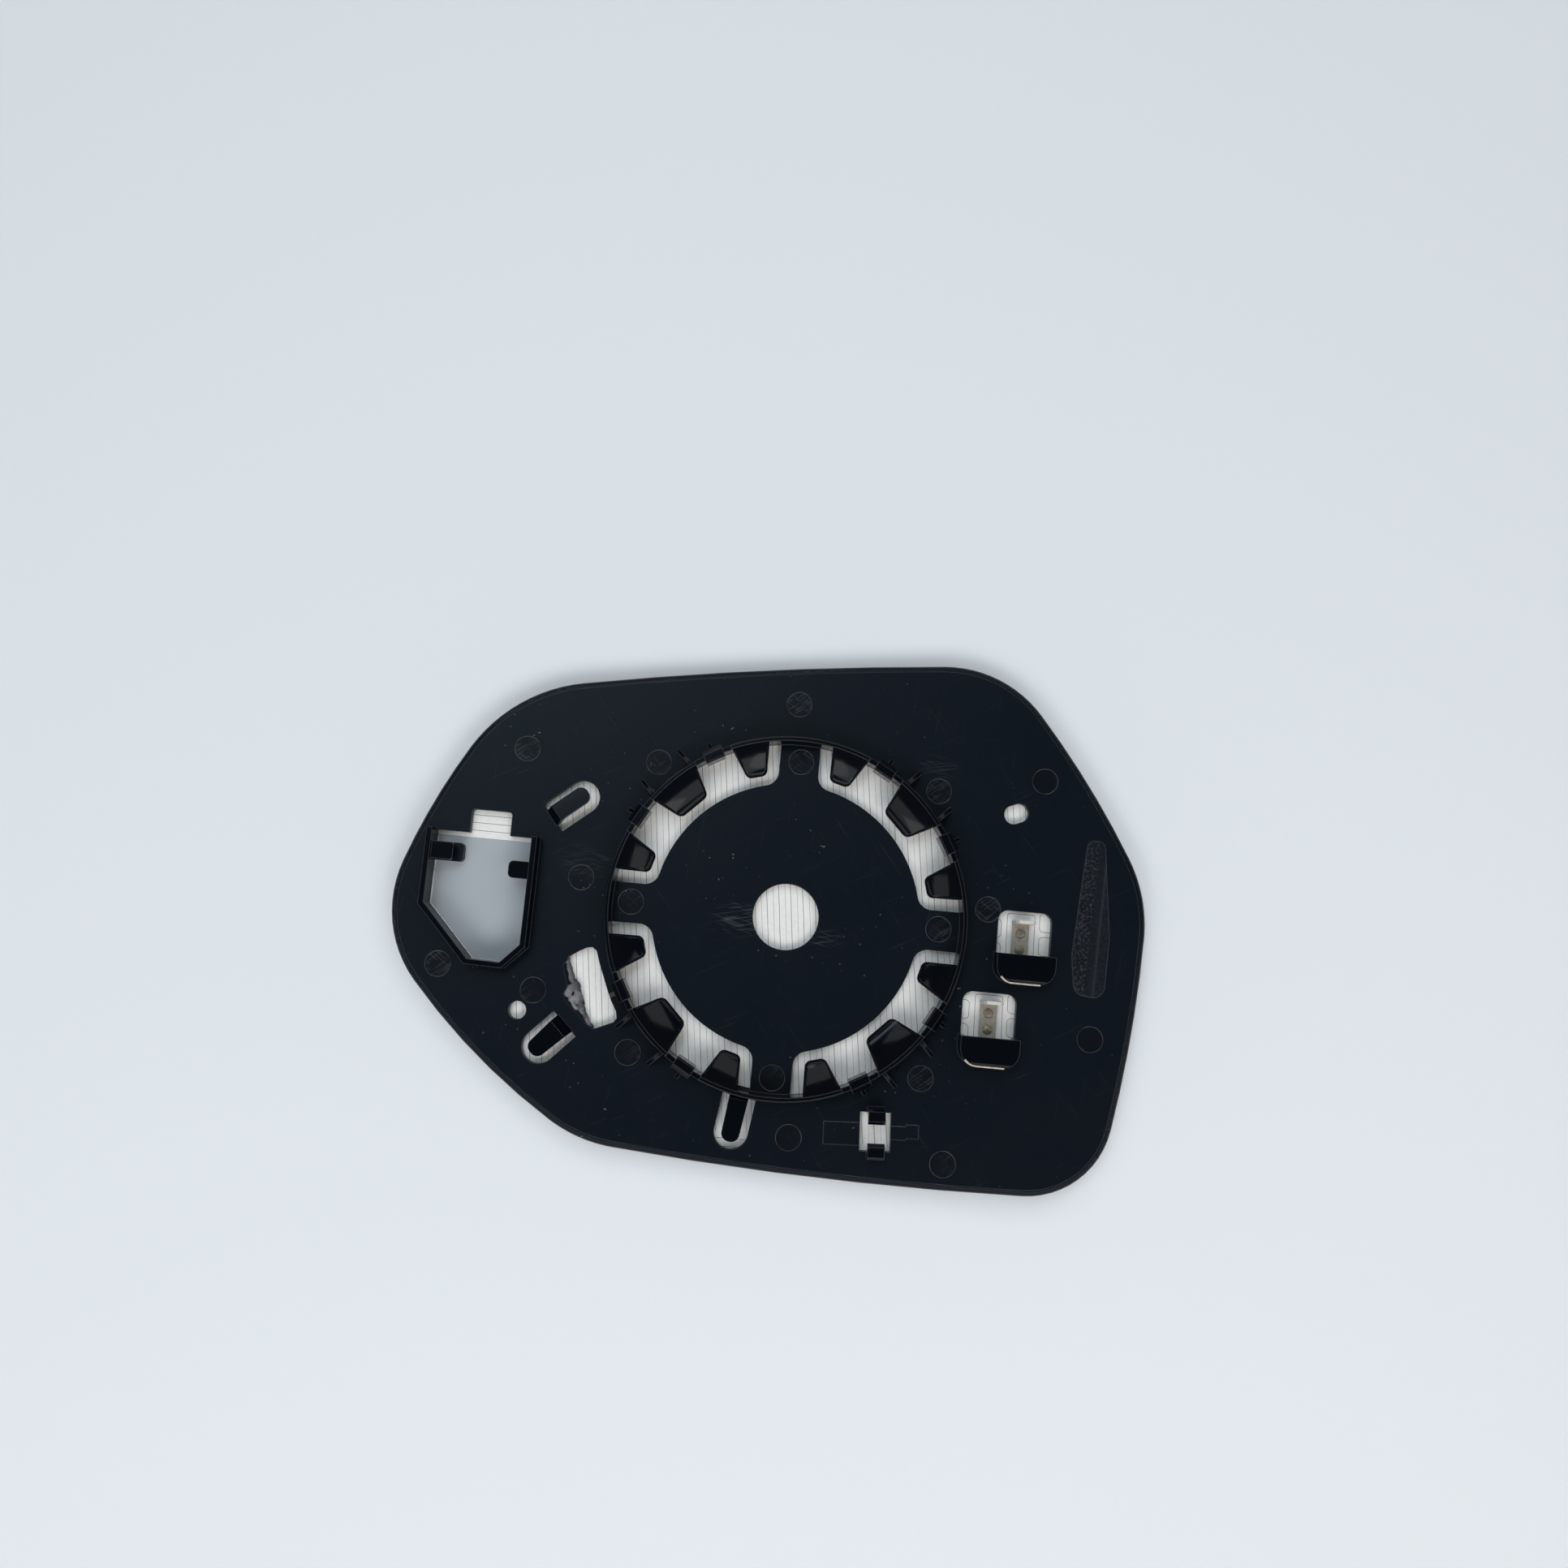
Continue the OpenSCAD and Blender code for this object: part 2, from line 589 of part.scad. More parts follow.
// Terminal window, which runs on under its hood
module terminal_window(x, y) {
  w = window_w / 2;
  low = y - window_l - hood_l + hood_t / 2;
  polygon(rounded([
    [x - w, y, window_r], [x + w, y, window_r],
    [x + w, low, hood_l / 2], [x - w, low, hood_l / 2]]));
}
// Hood open towards its window, with round outer corners
module hood(x, y) {
  top = y - window_l;
  w = hood_w / 2;
  translate([x, top, bowl(x, top, BACK_V)]) difference() {
    intersection() {
      translate([0, 0, -ROOT]) linear_extrude(TALL) polygon(rounded([
        [-w, 0, 0], [-w, -hood_l, 4.2], [w, -hood_l, 4.2], [w, 0, 0]]));
      translate([-w, 0, 0]) rotate([90, 0, 90]) linear_extrude(hood_w) polygon([
        [-hood_l, -ROOT], [0, -ROOT], [0, hood_h], [0.9 - hood_l, hood_h], [-hood_l, hood_h - 0.9]]);
    }
    translate([0, 0, -TALL]) linear_extrude(TALL + hood_h - hood_t) polygon(rounded([
      [hood_t - w, 1, 0], [hood_t - w, hood_t - hood_l, 3], [w - hood_t, hood_t - hood_l, 3],
      [w - hood_t, 1, 0]]));
  }
}

// Cable clip: two hooks that face each other over an opening, with shallow cable beds
module at_clip() {
  translate([clip_x, -clip_y, 0]) rotate([0, 0, clip_turn]) children();
}
module clip_hook() {
  slab(-clip_hook_w / 2, clip_hook_w / 2) polygon([
    [clip_l / 2 - 0.2, -ROOT], [clip_l / 2 + 1.3, -ROOT], [clip_l / 2 + 1.3, clip_hook_h - 0.6],
    [clip_l / 2 + 0.7, clip_hook_h], [clip_l / 2 - 1.6, clip_hook_h], [clip_l / 2 - 2.4, clip_hook_h - 0.8],
    [clip_l / 2 - 2.4, clip_hook_h - 1.3], [clip_l / 2 - 0.2, clip_hook_h - 1.3]]);
}
module clip_beds() {
  translate([-12.4, -3.3]) square([8.8, 5.3]);
  translate([3.6, -1.6]) square([3.8, 3.1]);
  translate([7.4, -1.2]) square([3, 3.2]);
}

// Broken opening beside the ring, with a torn ledge on its outer side
BROKEN = [
  [-52, -14.6], [-49.9, -13.1], [-47.6, -11.8], [-46.2, -11.6], [-45.1, -12.4], [-44.2, -15.1],
  [-42.3, -19.7], [-40.5, -23.8], [-38.9, -26.5], [-38.6, -28.1], [-39.3, -29.1], [-43.9, -31.1],
  [-44.9, -30.7], [-47.1, -26.3], [-46.8, -25.3], [-48.3, -21.8], [-49.4, -19.8], [-50.2, -19.6],
  [-51.2, -17.1]
];
TORN = [
  [-51, -13.8], [-53, -16.8], [-51.6, -20.3], [-51.3, -21.7], [-52.1, -23.5], [-51.7, -24.5],
  [-50, -26.3], [-47.9, -28], [-46.2, -29.7], [-44.6, -31], [-43.6, -29], [-45.4, -24.2],
  [-47.5, -19.2], [-49.6, -15.6]
];

// Where the mould's ejector pins have left round marks
MARKS = [
  [-67.2, 35.4], [-34.7, 35.1], [-1.3, 52.7], [0.4, 38.4], [35, 34.2], [60.8, 38.9],
  [49.2, 6.3], [37.5, 0.4], [75.7, -22.7], [35.9, -35.7], [0.2, -38.8], [5.4, -52.4],
  [42.6, -55.2], [-35.1, -35.9], [-59.4, -23.1], [-82.8, -18.8], [-50.8, 5.1], [-38.1, 0.3]
];

// Low patch with a wrinkled skin between the windows and the door end
module rough_patch() {
  polygon(rounded([
    [72.3, 25.3, 1.8], [76.4, 25.3, 1.8], [78.9, 2, 20],
    [78.3, -13, 2.8], [71.2, -12.2, 2.8], [70.1, -3, 8]]));
}

module plate_cuts() {
  circle(d = centre_d, $fn = 96);
  for (q = [0:90:270]) rotate([0, 0, q]) quarter_cut();
  pocket_window();
  for (f = FINGERS) at_finger(f) slot_plan(f[3]);
  terminal_window(upper_x, upper_y);
  terminal_window(lower_x, lower_y);
  translate([pin_hole_x, pin_hole_y]) circle(d = pin_hole_d, $fn = 48);
  translate([oval_x, oval_y]) rotate([0, 0, oval_turn]) polygon(rounded([
    [-oval_l / 2, -oval_w / 2, oval_w * 0.48], [oval_l / 2, -oval_w / 2, oval_w * 0.48],
    [oval_l / 2, oval_w / 2, oval_w * 0.48], [-oval_l / 2, oval_w / 2, oval_w * 0.48]]));
  at_clip() square([clip_w, clip_l], center = true);
  polygon(BROKEN);
}

module backing_plate() color(BLACK) {
  difference() {
    layer(PLATE_V, BACK_V) polygon(outline(back_round));
    translate([0, 0, -1]) linear_extrude(TALL) plate_cuts();
    layer(BACK_V - plate_t * 0.55, BACK_V + 1) polygon(TORN);
    layer(BACK_V - bed_depth, BACK_V + 1) at_clip() clip_beds();
    layer(BACK_V - mark_depth, BACK_V + 1) for (m = MARKS) translate(m) circle(d = mark_d, $fn = 48);
  }
  layer(BACK_V - ROOT, BACK_V + patch_rise) rough_patch();
  rim();
  clip_ring();
  pocket();
  for (f = FINGERS) finger(f);
  hood(upper_x, upper_y);
  hood(lower_x, lower_y);
  seat(clip_x, -clip_y, clip_turn) {
    rotate([0, 0, 90]) clip_hook();
    rotate([0, 0, -90]) clip_hook();
  }
}

module mirror_glass() color(MIRROR) {
  layer(0, glass_t) polygon(outline(rim_w + glass_gap));
}

module heater_foil() color(SILVER) {
  layer(FOIL_V, PLATE_V) difference() {
    polygon(outline(rim_w + foil_in));
    difference() {
      pocket_clear(pocket_y - 1.2, 0);
      floor_tab();
    }
  }
}

// Puts a terminal's pieces on the foil, square to it, with the strip's middle at x, y
module on_foil(x, y) {
  lean = [asin(y / glass_r), asin(x / glass_r)];
  lift = 0.02;
  translate([x, y, bowl(x, y, PLATE_V) + lift]) rotate([lean[0], -lean[1], 0]) children();
}
module at_upper() {
  on_foil(upper_x + upper_shift, upper_y - upper_blade_in - strip_l / 2) children();
}
module at_lower() {
  on_foil(lower_x + lower_shift, lower_y - lower_blade_in - strip_l / 2) children();
}
RIVET_Y = [strip_l / 2 - rivet_in, strip_l / 2 - rivet_in - rivet_pitch];

// Bent sheet terminal: a riveted foot strip and an upright blade with a chamfered tip
module terminal() color(TIN) {
  l = strip_l / 2;
  difference() {
    union() {
      translate([-strip_w / 2, -l, 0]) cube([strip_w, strip_l, strip_t]);
      translate([0, l, 0]) rotate([90, 0, 0]) linear_extrude(strip_t) polygon([
        [-strip_w / 2 - 0.1, 0], [blade_w - strip_w / 2, 0], [blade_w - strip_w / 2, blade_h - 1],
        [blade_w - strip_w / 2 - 0.8, blade_h], [0.7 - strip_w / 2, blade_h],
        [-strip_w / 2 - 0.1, blade_h - 1]]);
    }
    for (y = RIVET_Y) translate([0, y, -1]) cylinder(d = shank_d + 0.1, h = TALL, $fn = 32);
    translate([0.2, l + 1, blade_h - 3]) rotate([90, 0, 0]) cylinder(d = 1.4, h = 5, $fn = 32);
  }
}

// Round-headed rivet through a foot strip
module rivet(y) color(TIN) {
  translate([0, y, 0]) {
    cylinder(d = shank_d, h = strip_t + 0.1, $fn = 32);
    translate([0, 0, strip_t]) intersection() {
      cylinder(d = rivet_d, h = 0.45, $fn = 32);
      translate([0, 0, 0.45 - rivet_d]) sphere(r = rivet_d, $fn = 64);
    }
  }
}

// Sets the pieces, drawn from the glass's lowest point up, around the centre hole's middle
module placed() {
  translate([0, 0, -PLATE_V - plate_t / 2]) children();
}

placed() backing_plate();
placed() mirror_glass();
placed() heater_foil();
placed() at_upper() terminal();  // upper_terminal
placed() at_lower() terminal();  // lower_terminal
placed() at_upper() rivet(RIVET_Y[0]);  // upper_rivet_front
placed() at_upper() rivet(RIVET_Y[1]);  // upper_rivet_rear
placed() at_lower() rivet(RIVET_Y[0]);  // lower_rivet_front
placed() at_lower() rivet(RIVET_Y[1]);  // lower_rivet_rear
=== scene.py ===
import math

import bmesh
import bpy
from mathutils import Matrix, Vector


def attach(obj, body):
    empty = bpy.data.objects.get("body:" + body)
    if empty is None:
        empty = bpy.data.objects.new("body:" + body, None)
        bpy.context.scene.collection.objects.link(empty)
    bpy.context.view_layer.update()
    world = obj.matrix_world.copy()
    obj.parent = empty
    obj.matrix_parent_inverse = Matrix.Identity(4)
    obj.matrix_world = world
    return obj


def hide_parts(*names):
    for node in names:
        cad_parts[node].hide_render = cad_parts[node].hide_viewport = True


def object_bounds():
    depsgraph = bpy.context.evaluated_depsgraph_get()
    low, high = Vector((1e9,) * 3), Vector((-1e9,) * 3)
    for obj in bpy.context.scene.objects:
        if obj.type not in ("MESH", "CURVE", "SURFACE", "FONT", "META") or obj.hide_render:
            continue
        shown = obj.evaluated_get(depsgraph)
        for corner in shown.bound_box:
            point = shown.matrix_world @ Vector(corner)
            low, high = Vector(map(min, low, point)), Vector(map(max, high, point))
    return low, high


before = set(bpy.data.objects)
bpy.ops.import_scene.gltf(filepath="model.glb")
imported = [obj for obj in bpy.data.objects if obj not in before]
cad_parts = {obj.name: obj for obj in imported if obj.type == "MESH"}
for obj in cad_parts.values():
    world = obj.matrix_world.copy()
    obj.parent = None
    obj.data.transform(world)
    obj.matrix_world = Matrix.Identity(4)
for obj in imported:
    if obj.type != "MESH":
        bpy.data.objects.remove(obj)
solid_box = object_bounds()

# Camera
# It looks down on the back of the mirror glass from 32 cm, as the photograph does, and leans a
# little towards the upper edge. The part lies as it would come to rest, with its glass down.
SENSOR_WIDTH = 36
FOCAL_LENGTH = 29.81
CAMERA_PLACE = (-0.0018, -0.0044, 0.3211)
CAMERA_TURN = (6.6, -0.32, 5.2)
NEAR_LIMIT = 0.01
FAR_LIMIT = 50

camera = bpy.data.objects.new("camera", bpy.data.cameras.new("camera"))
bpy.context.scene.collection.objects.link(camera)
bpy.context.scene.camera = camera
camera.data.sensor_width = SENSOR_WIDTH
camera.data.lens = FOCAL_LENGTH
camera.data.clip_start = NEAR_LIMIT
camera.data.clip_end = FAR_LIMIT
camera.location = CAMERA_PLACE
camera.rotation_euler = [math.radians(angle) for angle in CAMERA_TURN]

# Mirror glass
# A 2 mm pane of convex glass, cut to the outline and ground along its edge. It has a bright
# coat, seen from the front as a mirror and through the pocket as plain grey. Near the outer tip
# a fine dashed line is etched into the coat.
MM = 0.001
GLASS_RADIUS = 1260
BALL_MIDDLE = Vector((0, 0, 1.2567))
LEVEL_TOLERANCE = 0.004
MERGE_DISTANCE = 0.001
SAME_FACING = 0.99
FLAT_AREA = 9
BRIGHT_COAT = (0.86, 0.87, 0.90, 1)
GREY_COAT = (0.37, 0.40, 0.425, 1)
ETCHED_LINE = (0.55, 0.56, 0.58, 1)
GLASS_BACK_LEVEL = -2.2
LINE_MIDDLE_X = -33.6
LINE_BULGE = 0.0016
LINE_HALF_WIDTH = 0.13
DASH_LENGTH = 2.6
DASH_GAP = 0.8
POLISH = 0.02
FRONT_HAZE = 0.03
BACK_ROUGHNESS = 0.13


class Value:
    """One output of a material's nodes. Sums and comparisons on it add Math nodes."""

    def __init__(self, tree, socket):
        self.tree = tree
        self.socket = socket

    def node(self, kind, settings, sockets, output=0):
        """Adds a node with these settings and these values or links in its sockets."""
        made = self.tree.nodes.new("ShaderNode" + kind)
        for name, setting in settings.items():
            setattr(made, name, setting)
        for place, source in sockets.items():
            if isinstance(source, Value):
                self.tree.links.new(source.socket, made.inputs[place])
            else:
                made.inputs[place].default_value = source
        return Value(self.tree, made.outputs[output])

    def math(self, operation, *others):
        return self.node("Math", {"operation": operation}, dict(enumerate((self, *others))))

    def __add__(self, other):
        return self.math("ADD", other)

    __radd__ = __add__

    def __sub__(self, other):
        return self.math("SUBTRACT", other)

    def __rsub__(self, other):
        return self.node("Math", {"operation": "SUBTRACT"}, {0: other, 1: self})

    def __mul__(self, other):
        return self.math("MULTIPLY", other)

    __rmul__ = __mul__

    def __truediv__(self, other):
        return self.math("DIVIDE", other)

    def __abs__(self):
        return self.math("ABSOLUTE")

    def __lt__(self, other):
        return self.math("LESS_THAN", other)

    def __gt__(self, other):
        return self.math("GREATER_THAN", other)

    def __mod__(self, other):
        return self.math("FLOORED_MODULO", other)

    def ramp(self, low, high):
        """0 below low and 1 above high, with a soft step between them."""
        return self.node(
            "MapRange",
            {"interpolation_type": "SMOOTHSTEP"},
            {"Value": self, "From Min": low, "From Max": high},
        )

    def mix_numbers(self, first, second):
        """The first number where this is 0 and the second where it is 1."""
        return first + self * (second - first)

    def mix(self, first, second):
        """The first colour where this is 0 and the second where it is 1."""
        return self.node(
            "Mix", {"data_type": "RGBA"}, {0: self, 6: first, 7: second}, output=2
        )


class Finish:
    """A material with its Principled BSDF and its place on the part in millimetres."""

    def __init__(self, name, **sockets):
        self.material = bpy.data.materials.new(name)
        self.material.use_nodes = True
        tree = self.material.node_tree
        self.shader = tree.nodes["Principled BSDF"]
        coordinates = tree.nodes.new("ShaderNodeTexCoord")
        in_metres = Value(tree, coordinates.outputs["Object"])
        self.place = in_metres.node(
            "VectorMath", {"operation": "SCALE"}, {0: in_metres, "Scale": 1 / MM}
        )
        axes = tree.nodes.new("ShaderNodeSeparateXYZ")
        tree.links.new(self.place.socket, axes.inputs[0])
        self.x, self.y, self.z = (Value(tree, out) for out in axes.outputs)
        for socket, value in sockets.items():
            self.set(socket.replace("_", " "), value)

    def set(self, socket, value):
        """Puts a value or a link on one of the shader's sockets."""
        if isinstance(value, Value):
            self.place.tree.links.new(value.socket, self.shader.inputs[socket])
        else:
            self.shader.inputs[socket].default_value = value

    def noise(self, scale, detail=2, roughness=0.5):
        """Noise from 0 to 1, with this many waves in each millimetre."""
        sockets = {"Vector": self.place, "Scale": scale, "Detail": detail, "Roughness": roughness}
        return self.place.node("TexNoise", {}, sockets)

    def above(self, level):
        """Height over a level of the curved glass, which rises towards the edges."""
        return self.z - level - (self.x * self.x + self.y * self.y) / (2 * GLASS_RADIUS)

    def bump(self, height, strength):
        """Raises the surface by a height in millimetres."""
        bumped = self.place.node(
            "Bump", {}, {"Strength": strength, "Distance": MM, "Height": height}
        )
        self.set("Normal", bumped)


def smooth_copy(piece, node, finish, sharp_angle, cut=None):
    """Stands for a CAD node: the same form with its triangles merged and its curves smooth."""
    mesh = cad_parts[node].data.copy()
    mesh.materials.clear()
    mesh.materials.append(finish.material)
    form = bmesh.new()
    form.from_mesh(mesh)
    bmesh.ops.remove_doubles(form, verts=form.verts, dist=MERGE_DISTANCE * MM)
    bmesh.ops.dissolve_degenerate(form, dist=MERGE_DISTANCE * MM, edges=form.edges)
    if cut:
        cut(form)
    for face in form.faces:
        face.smooth = True
    for edge in form.edges:
        edge.smooth = edge.calc_face_angle(math.pi) < math.radians(sharp_angle)
    form.to_mesh(mesh)
    form.free()

    # Faces that lie on one of the curved levels get that ball's own normals, and large flat
    # faces between them stay flat
    normals = []
    for face in mesh.polygons:
        corners = [mesh.vertices[i].co for i in face.vertices]
        reach = [(BALL_MIDDLE - corner).length for corner in corners]
        on_level = max(reach) - min(reach) < LEVEL_TOLERANCE * MM
        for corner in corners:
            inward = (BALL_MIDDLE - corner).normalized()
            facing = inward.dot(face.normal)
            if on_level and abs(facing) > SAME_FACING:
                normals.append(inward if facing > 0 else -inward)
            elif face.area > FLAT_AREA * MM ** 2:
                normals.append(face.normal)
            else:
                normals.append((0, 0, 0))
    mesh.normals_split_custom_set(normals)

    copy = bpy.data.objects.new(piece, mesh)
    bpy.context.scene.collection.objects.link(copy)
    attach(copy, "root")
    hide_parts(node)


pane_finish = Finish("mirror_coat")
line_x = LINE_MIDDLE_X + LINE_BULGE * (pane_finish.y * pane_finish.y)
on_line = abs(pane_finish.x - line_x) < LINE_HALF_WIDTH
on_dash = (pane_finish.y % (DASH_LENGTH + DASH_GAP)) < DASH_LENGTH
behind = pane_finish.above(GLASS_BACK_LEVEL).ramp(0, 0.4)
etched = on_line * on_dash * (1 - behind)
coat = behind.mix(BRIGHT_COAT, GREY_COAT)
pane_finish.set("Base Color", etched.mix(coat, ETCHED_LINE))
haze = pane_finish.noise(0.08, detail=4)
pane_finish.set("Roughness", POLISH + haze * FRONT_HAZE + behind * BACK_ROUGHNESS)
pane_finish.set("Metallic", 1 - behind)
smooth_copy("pane", "mirror_glass", pane_finish, sharp_angle=20)

# Heater foil
# Thin metal foil on film, glued between the glass and the plate. Fine gaps are etched into it
# so that the current runs up and down in narrow tracks. Round each terminal lies a wide plain
# track with rows of rounded islands beside it, and the tracks turn back near the lower edge.
FOIL_WHITE = (0.80, 0.78, 0.75, 1)
FOIL_SHADE = (0.70, 0.685, 0.665, 1)
GAP_COLOUR = (0.13, 0.125, 0.12, 1)
TRACK_LEAN = 7.7
TRACK_PAIR = 2.95
NARROW_TRACK = 1.38
TRACK_WANDER = 0.5
GAP_HALF_WIDTH = 0.06
FINER_GAP = 0.035
TERMINAL_PLACES = [(57.7, 6.5), (51.3, -13.8)]
TERMINAL_LEAN = 0.02
TERMINAL_FIELD = (8.9, 11.5)
FIELD_DOWN = 5.5
FIELD_CORNER = 2
WIDE_TRACK = (3.35, 15)
WIDE_TOP = 0.6
WIDE_CORNER = 0.7
ISLAND_LEFT = 4.75
ISLAND_RIGHT = 4.55
ISLAND_SIZE = (2.4, 2.28)
ISLAND_CORNER = 1.0
ISLAND_PITCH = 5.77
LEFT_PHASE = 4.5
RIGHT_PHASE = 8.05
TURN_HEIGHT = -52.6
NOTCH_CORNER = (-60, 12)
LEVEL_TRACK = 1.9

foil_finish = Finish("heater_foil", Roughness=0.5)
foil_finish.set("Specular IOR Level", 0.3)
wander = (foil_finish.noise(0.05, detail=1) - 0.5) * TRACK_WANDER
lean = math.radians(TRACK_LEAN)
across = foil_finish.x * math.cos(lean) + foil_finish.y * math.sin(lean) + wander
step = across % TRACK_PAIR
strong_gap = abs(step - TRACK_PAIR / 2)
weak_gap = abs((across + NARROW_TRACK) % TRACK_PAIR - TRACK_PAIR / 2) + FINER_GAP
tracks = strong_gap.math("MINIMUM", weak_gap)


def to_outline(along, up, half_size, corner):
    """Distance to the outline of a rounded rectangle around a middle point."""
    out_x = abs(along) - (half_size[0] - corner)
    out_y = abs(up) - (half_size[1] - corner)
    beyond_x = out_x.math("MAXIMUM", 0)
    beyond_y = out_y.math("MAXIMUM", 0)
    outside = (beyond_x * beyond_x + beyond_y * beyond_y).math("SQRT")
    inside = out_x.math("MAXIMUM", out_y).math("MINIMUM", 0)
    return outside + inside - corner


for middle, top in TERMINAL_PLACES:
    along = foil_finish.x - middle + (foil_finish.y - top) * TERMINAL_LEAN
    down = top - foil_finish.y
    wide = abs(to_outline(along, down - WIDE_TOP - WIDE_TRACK[1], WIDE_TRACK, WIDE_CORNER))
    left_row = (down - LEFT_PHASE + ISLAND_PITCH / 2) % ISLAND_PITCH - ISLAND_PITCH / 2
    right_row = (down - RIGHT_PHASE + ISLAND_PITCH / 2) % ISLAND_PITCH - ISLAND_PITCH / 2
    to_left = along + ISLAND_LEFT + ISLAND_SIZE[0]
    to_right = along - ISLAND_RIGHT - ISLAND_SIZE[0]
    left = abs(to_outline(to_left, left_row, ISLAND_SIZE, ISLAND_CORNER))
    right = abs(to_outline(to_right, right_row, ISLAND_SIZE, ISLAND_CORNER))
    field = wide.math("MINIMUM", left).math("MINIMUM", right)
    to_field = to_outline(along, down - FIELD_DOWN, TERMINAL_FIELD, FIELD_CORNER)
    outside_field = to_field > 0
    tracks = outside_field.mix_numbers(field, tracks)

level_step = abs(foil_finish.y % LEVEL_TRACK - LEVEL_TRACK / 2)
in_notch = (foil_finish.x < NOTCH_CORNER[0]) * (foil_finish.y > NOTCH_CORNER[1])
below_turn = foil_finish.y < TURN_HEIGHT
tracks = in_notch.math("MAXIMUM", below_turn).mix_numbers(tracks, level_step)
gap = 1 - tracks.ramp(GAP_HALF_WIDTH * 0.6, GAP_HALF_WIDTH * 1.7)
mottle = foil_finish.noise(0.9, detail=5, roughness=0.65).ramp(0.35, 0.75)
cloudy = foil_finish.noise(0.09, detail=2)
foil_white = (mottle * 0.5 + cloudy * 0.4).mix(FOIL_WHITE, FOIL_SHADE)
foil_finish.set("Base Color", (gap * 0.92).mix(foil_white, GAP_COLOUR))
foil_finish.bump(mottle * 0.012 + cloudy * 0.05 - gap * 0.03, 0.5)
smooth_copy("foil", "heater_foil", foil_finish, sharp_angle=20)

# Backing plate
# One black moulding that holds the glass by its rim and carries the clip ring, the pocket for
# the lamp module, the hoods and the cable fingers. Its scratched back is satin and its ring
# polished. Ejector pins have left turned round marks, and a strip at the door end is wrinkled.
# Its edges are painted a lighter grey as a painted highlight, and so are the creases and the
# ridge of the wrinkled strip.
SATIN_BLACK = (0.0011, 0.0036, 0.0072, 1)
GLOSS_BLACK = (0.0014, 0.0022, 0.0038, 1)
EDGE_HIGHLIGHT_GREY = (0.085, 0.094, 0.108, 1)
WEAR_AND_HIGHLIGHT_GREY = (0.042, 0.048, 0.056, 1)
DUST = (0.36, 0.37, 0.38, 1)
PLATE_BACK_LEVEL = 1.0
MARK_DEPTH = 0.15
RAISED_FROM = (0.3, 0.5)
UNDERSIDE = (-2.2, -1.6)
SCRATCH_WIDTH = 0.35
SCUFF_FLATTENING = 1.7
SCUFFED_PLACES = [(-10.5, -1.5, 9, 1.0), (9.5, -4, 6, 0.7), (-49, 9, 10, 0.3), (34, 40, 7, 0.35)]
PATCH_LEFT = 69.5
PATCH_RIGHT = 79.5
PATCH_TOP = 26
PATCH_BOTTOM = -14
PATCH_RISE = (0.1, 0.2)
PATCH_LEAN = 0.045
ROUGH_EDGE = 74
RIDGE_LINE = 76.2
RIDGE_HALF = 0.5
EDGE_ROUNDING = 0.3

plate_finish = Finish("moulded_black")
plate_finish.set("Specular IOR Level", 0.13)
height = plate_finish.above(PLATE_BACK_LEVEL)
on_patch = (
    (plate_finish.x > PATCH_LEFT) * (plate_finish.x < PATCH_RIGHT)
    * (plate_finish.y < PATCH_TOP) * (plate_finish.y > PATCH_BOTTOM) * height.ramp(*PATCH_RISE)
)
raised = height.ramp(*RAISED_FROM)
below = 1 - height.ramp(*UNDERSIDE)
polished = raised.math("MAXIMUM", below)
in_mark = (1 - height.ramp(-0.12, -0.08)) * (height > -MARK_DEPTH - 0.04)
grain = plate_finish.noise(9, detail=2)
cloud = plate_finish.noise(0.045, detail=3)


def scratches(turn, seed, share, stretch=14):
    """Thin straight scratches in one direction, as a mask."""
    along = plate_finish.place.node(
        "Mapping",
        {"vector_type": "TEXTURE"},
        {"Vector": plate_finish.place, "Location": (seed, 0, 0),
         "Rotation": (0, 0, math.radians(turn)), "Scale": (stretch, SCRATCH_WIDTH, 1)},
    )
    lines = plate_finish.place.node(
        "TexNoise", {}, {"Vector": along, "Scale": 1, "Detail": 1, "Roughness": 0.4}
    )
    return lines.ramp(share, share + 0.05)


scuffed = 0 * plate_finish.x
for place_x, place_y, reach, strength in SCUFFED_PLACES:
    off_x = plate_finish.x - place_x
    off_y = (plate_finish.y - place_y) * SCUFF_FLATTENING
    spread = (off_x * off_x + off_y * off_y).math("SQRT")
    scuffed = scuffed.math("MAXIMUM", (1 - spread.ramp(reach * 0.35, reach)) * strength)
fine = (
    scratches(turn=28, seed=3, share=0.72) + scratches(turn=-52, seed=41, share=0.73)
    + scratches(turn=84, seed=97, share=0.74)
)
strong = (
    scratches(turn=12, seed=11, share=0.58, stretch=7)
    + scratches(turn=-14, seed=63, share=0.60, stretch=7)
)
turned = (
    scratches(turn=40, seed=5, share=0.54, stretch=5)
    + scratches(turn=-35, seed=77, share=0.60, stretch=5)
)
rubbed = plate_finish.noise(0.028, detail=0).ramp(0.42, 0.6)
marks = fine * 0.16 + strong * scuffed * 0.6 + turned * in_mark * rubbed * 0.35
marks = (marks * (1 - raised)).math("MINIMUM", 1)
sprinkled = plate_finish.noise(0.06, detail=1).ramp(0.45, 0.7)
specks = plate_finish.noise(1.3, detail=0).ramp(0.835, 0.85) * sprinkled * (1 - raised)
creases = plate_finish.noise(1.7, detail=4, roughness=0.7).ramp(0.48, 0.62)
slant = plate_finish.x - PATCH_LEAN * plate_finish.y
rough_side = (1 - slant.ramp(ROUGH_EDGE - 0.4, ROUGH_EDGE + 0.4)) * on_patch
creased = creases * (rough_side * 0.85 + on_patch * 0.15)
ridge = 1 - (abs(slant - RIDGE_LINE) / RIDGE_HALF).math("MINIMUM", 1)
rounded_edges = plate_finish.place.node(
    "Bevel", {"samples": 4}, {"Radius": EDGE_ROUNDING * MM}
)
shape = plate_finish.place.node("NewGeometry", {}, {}, output="Normal")
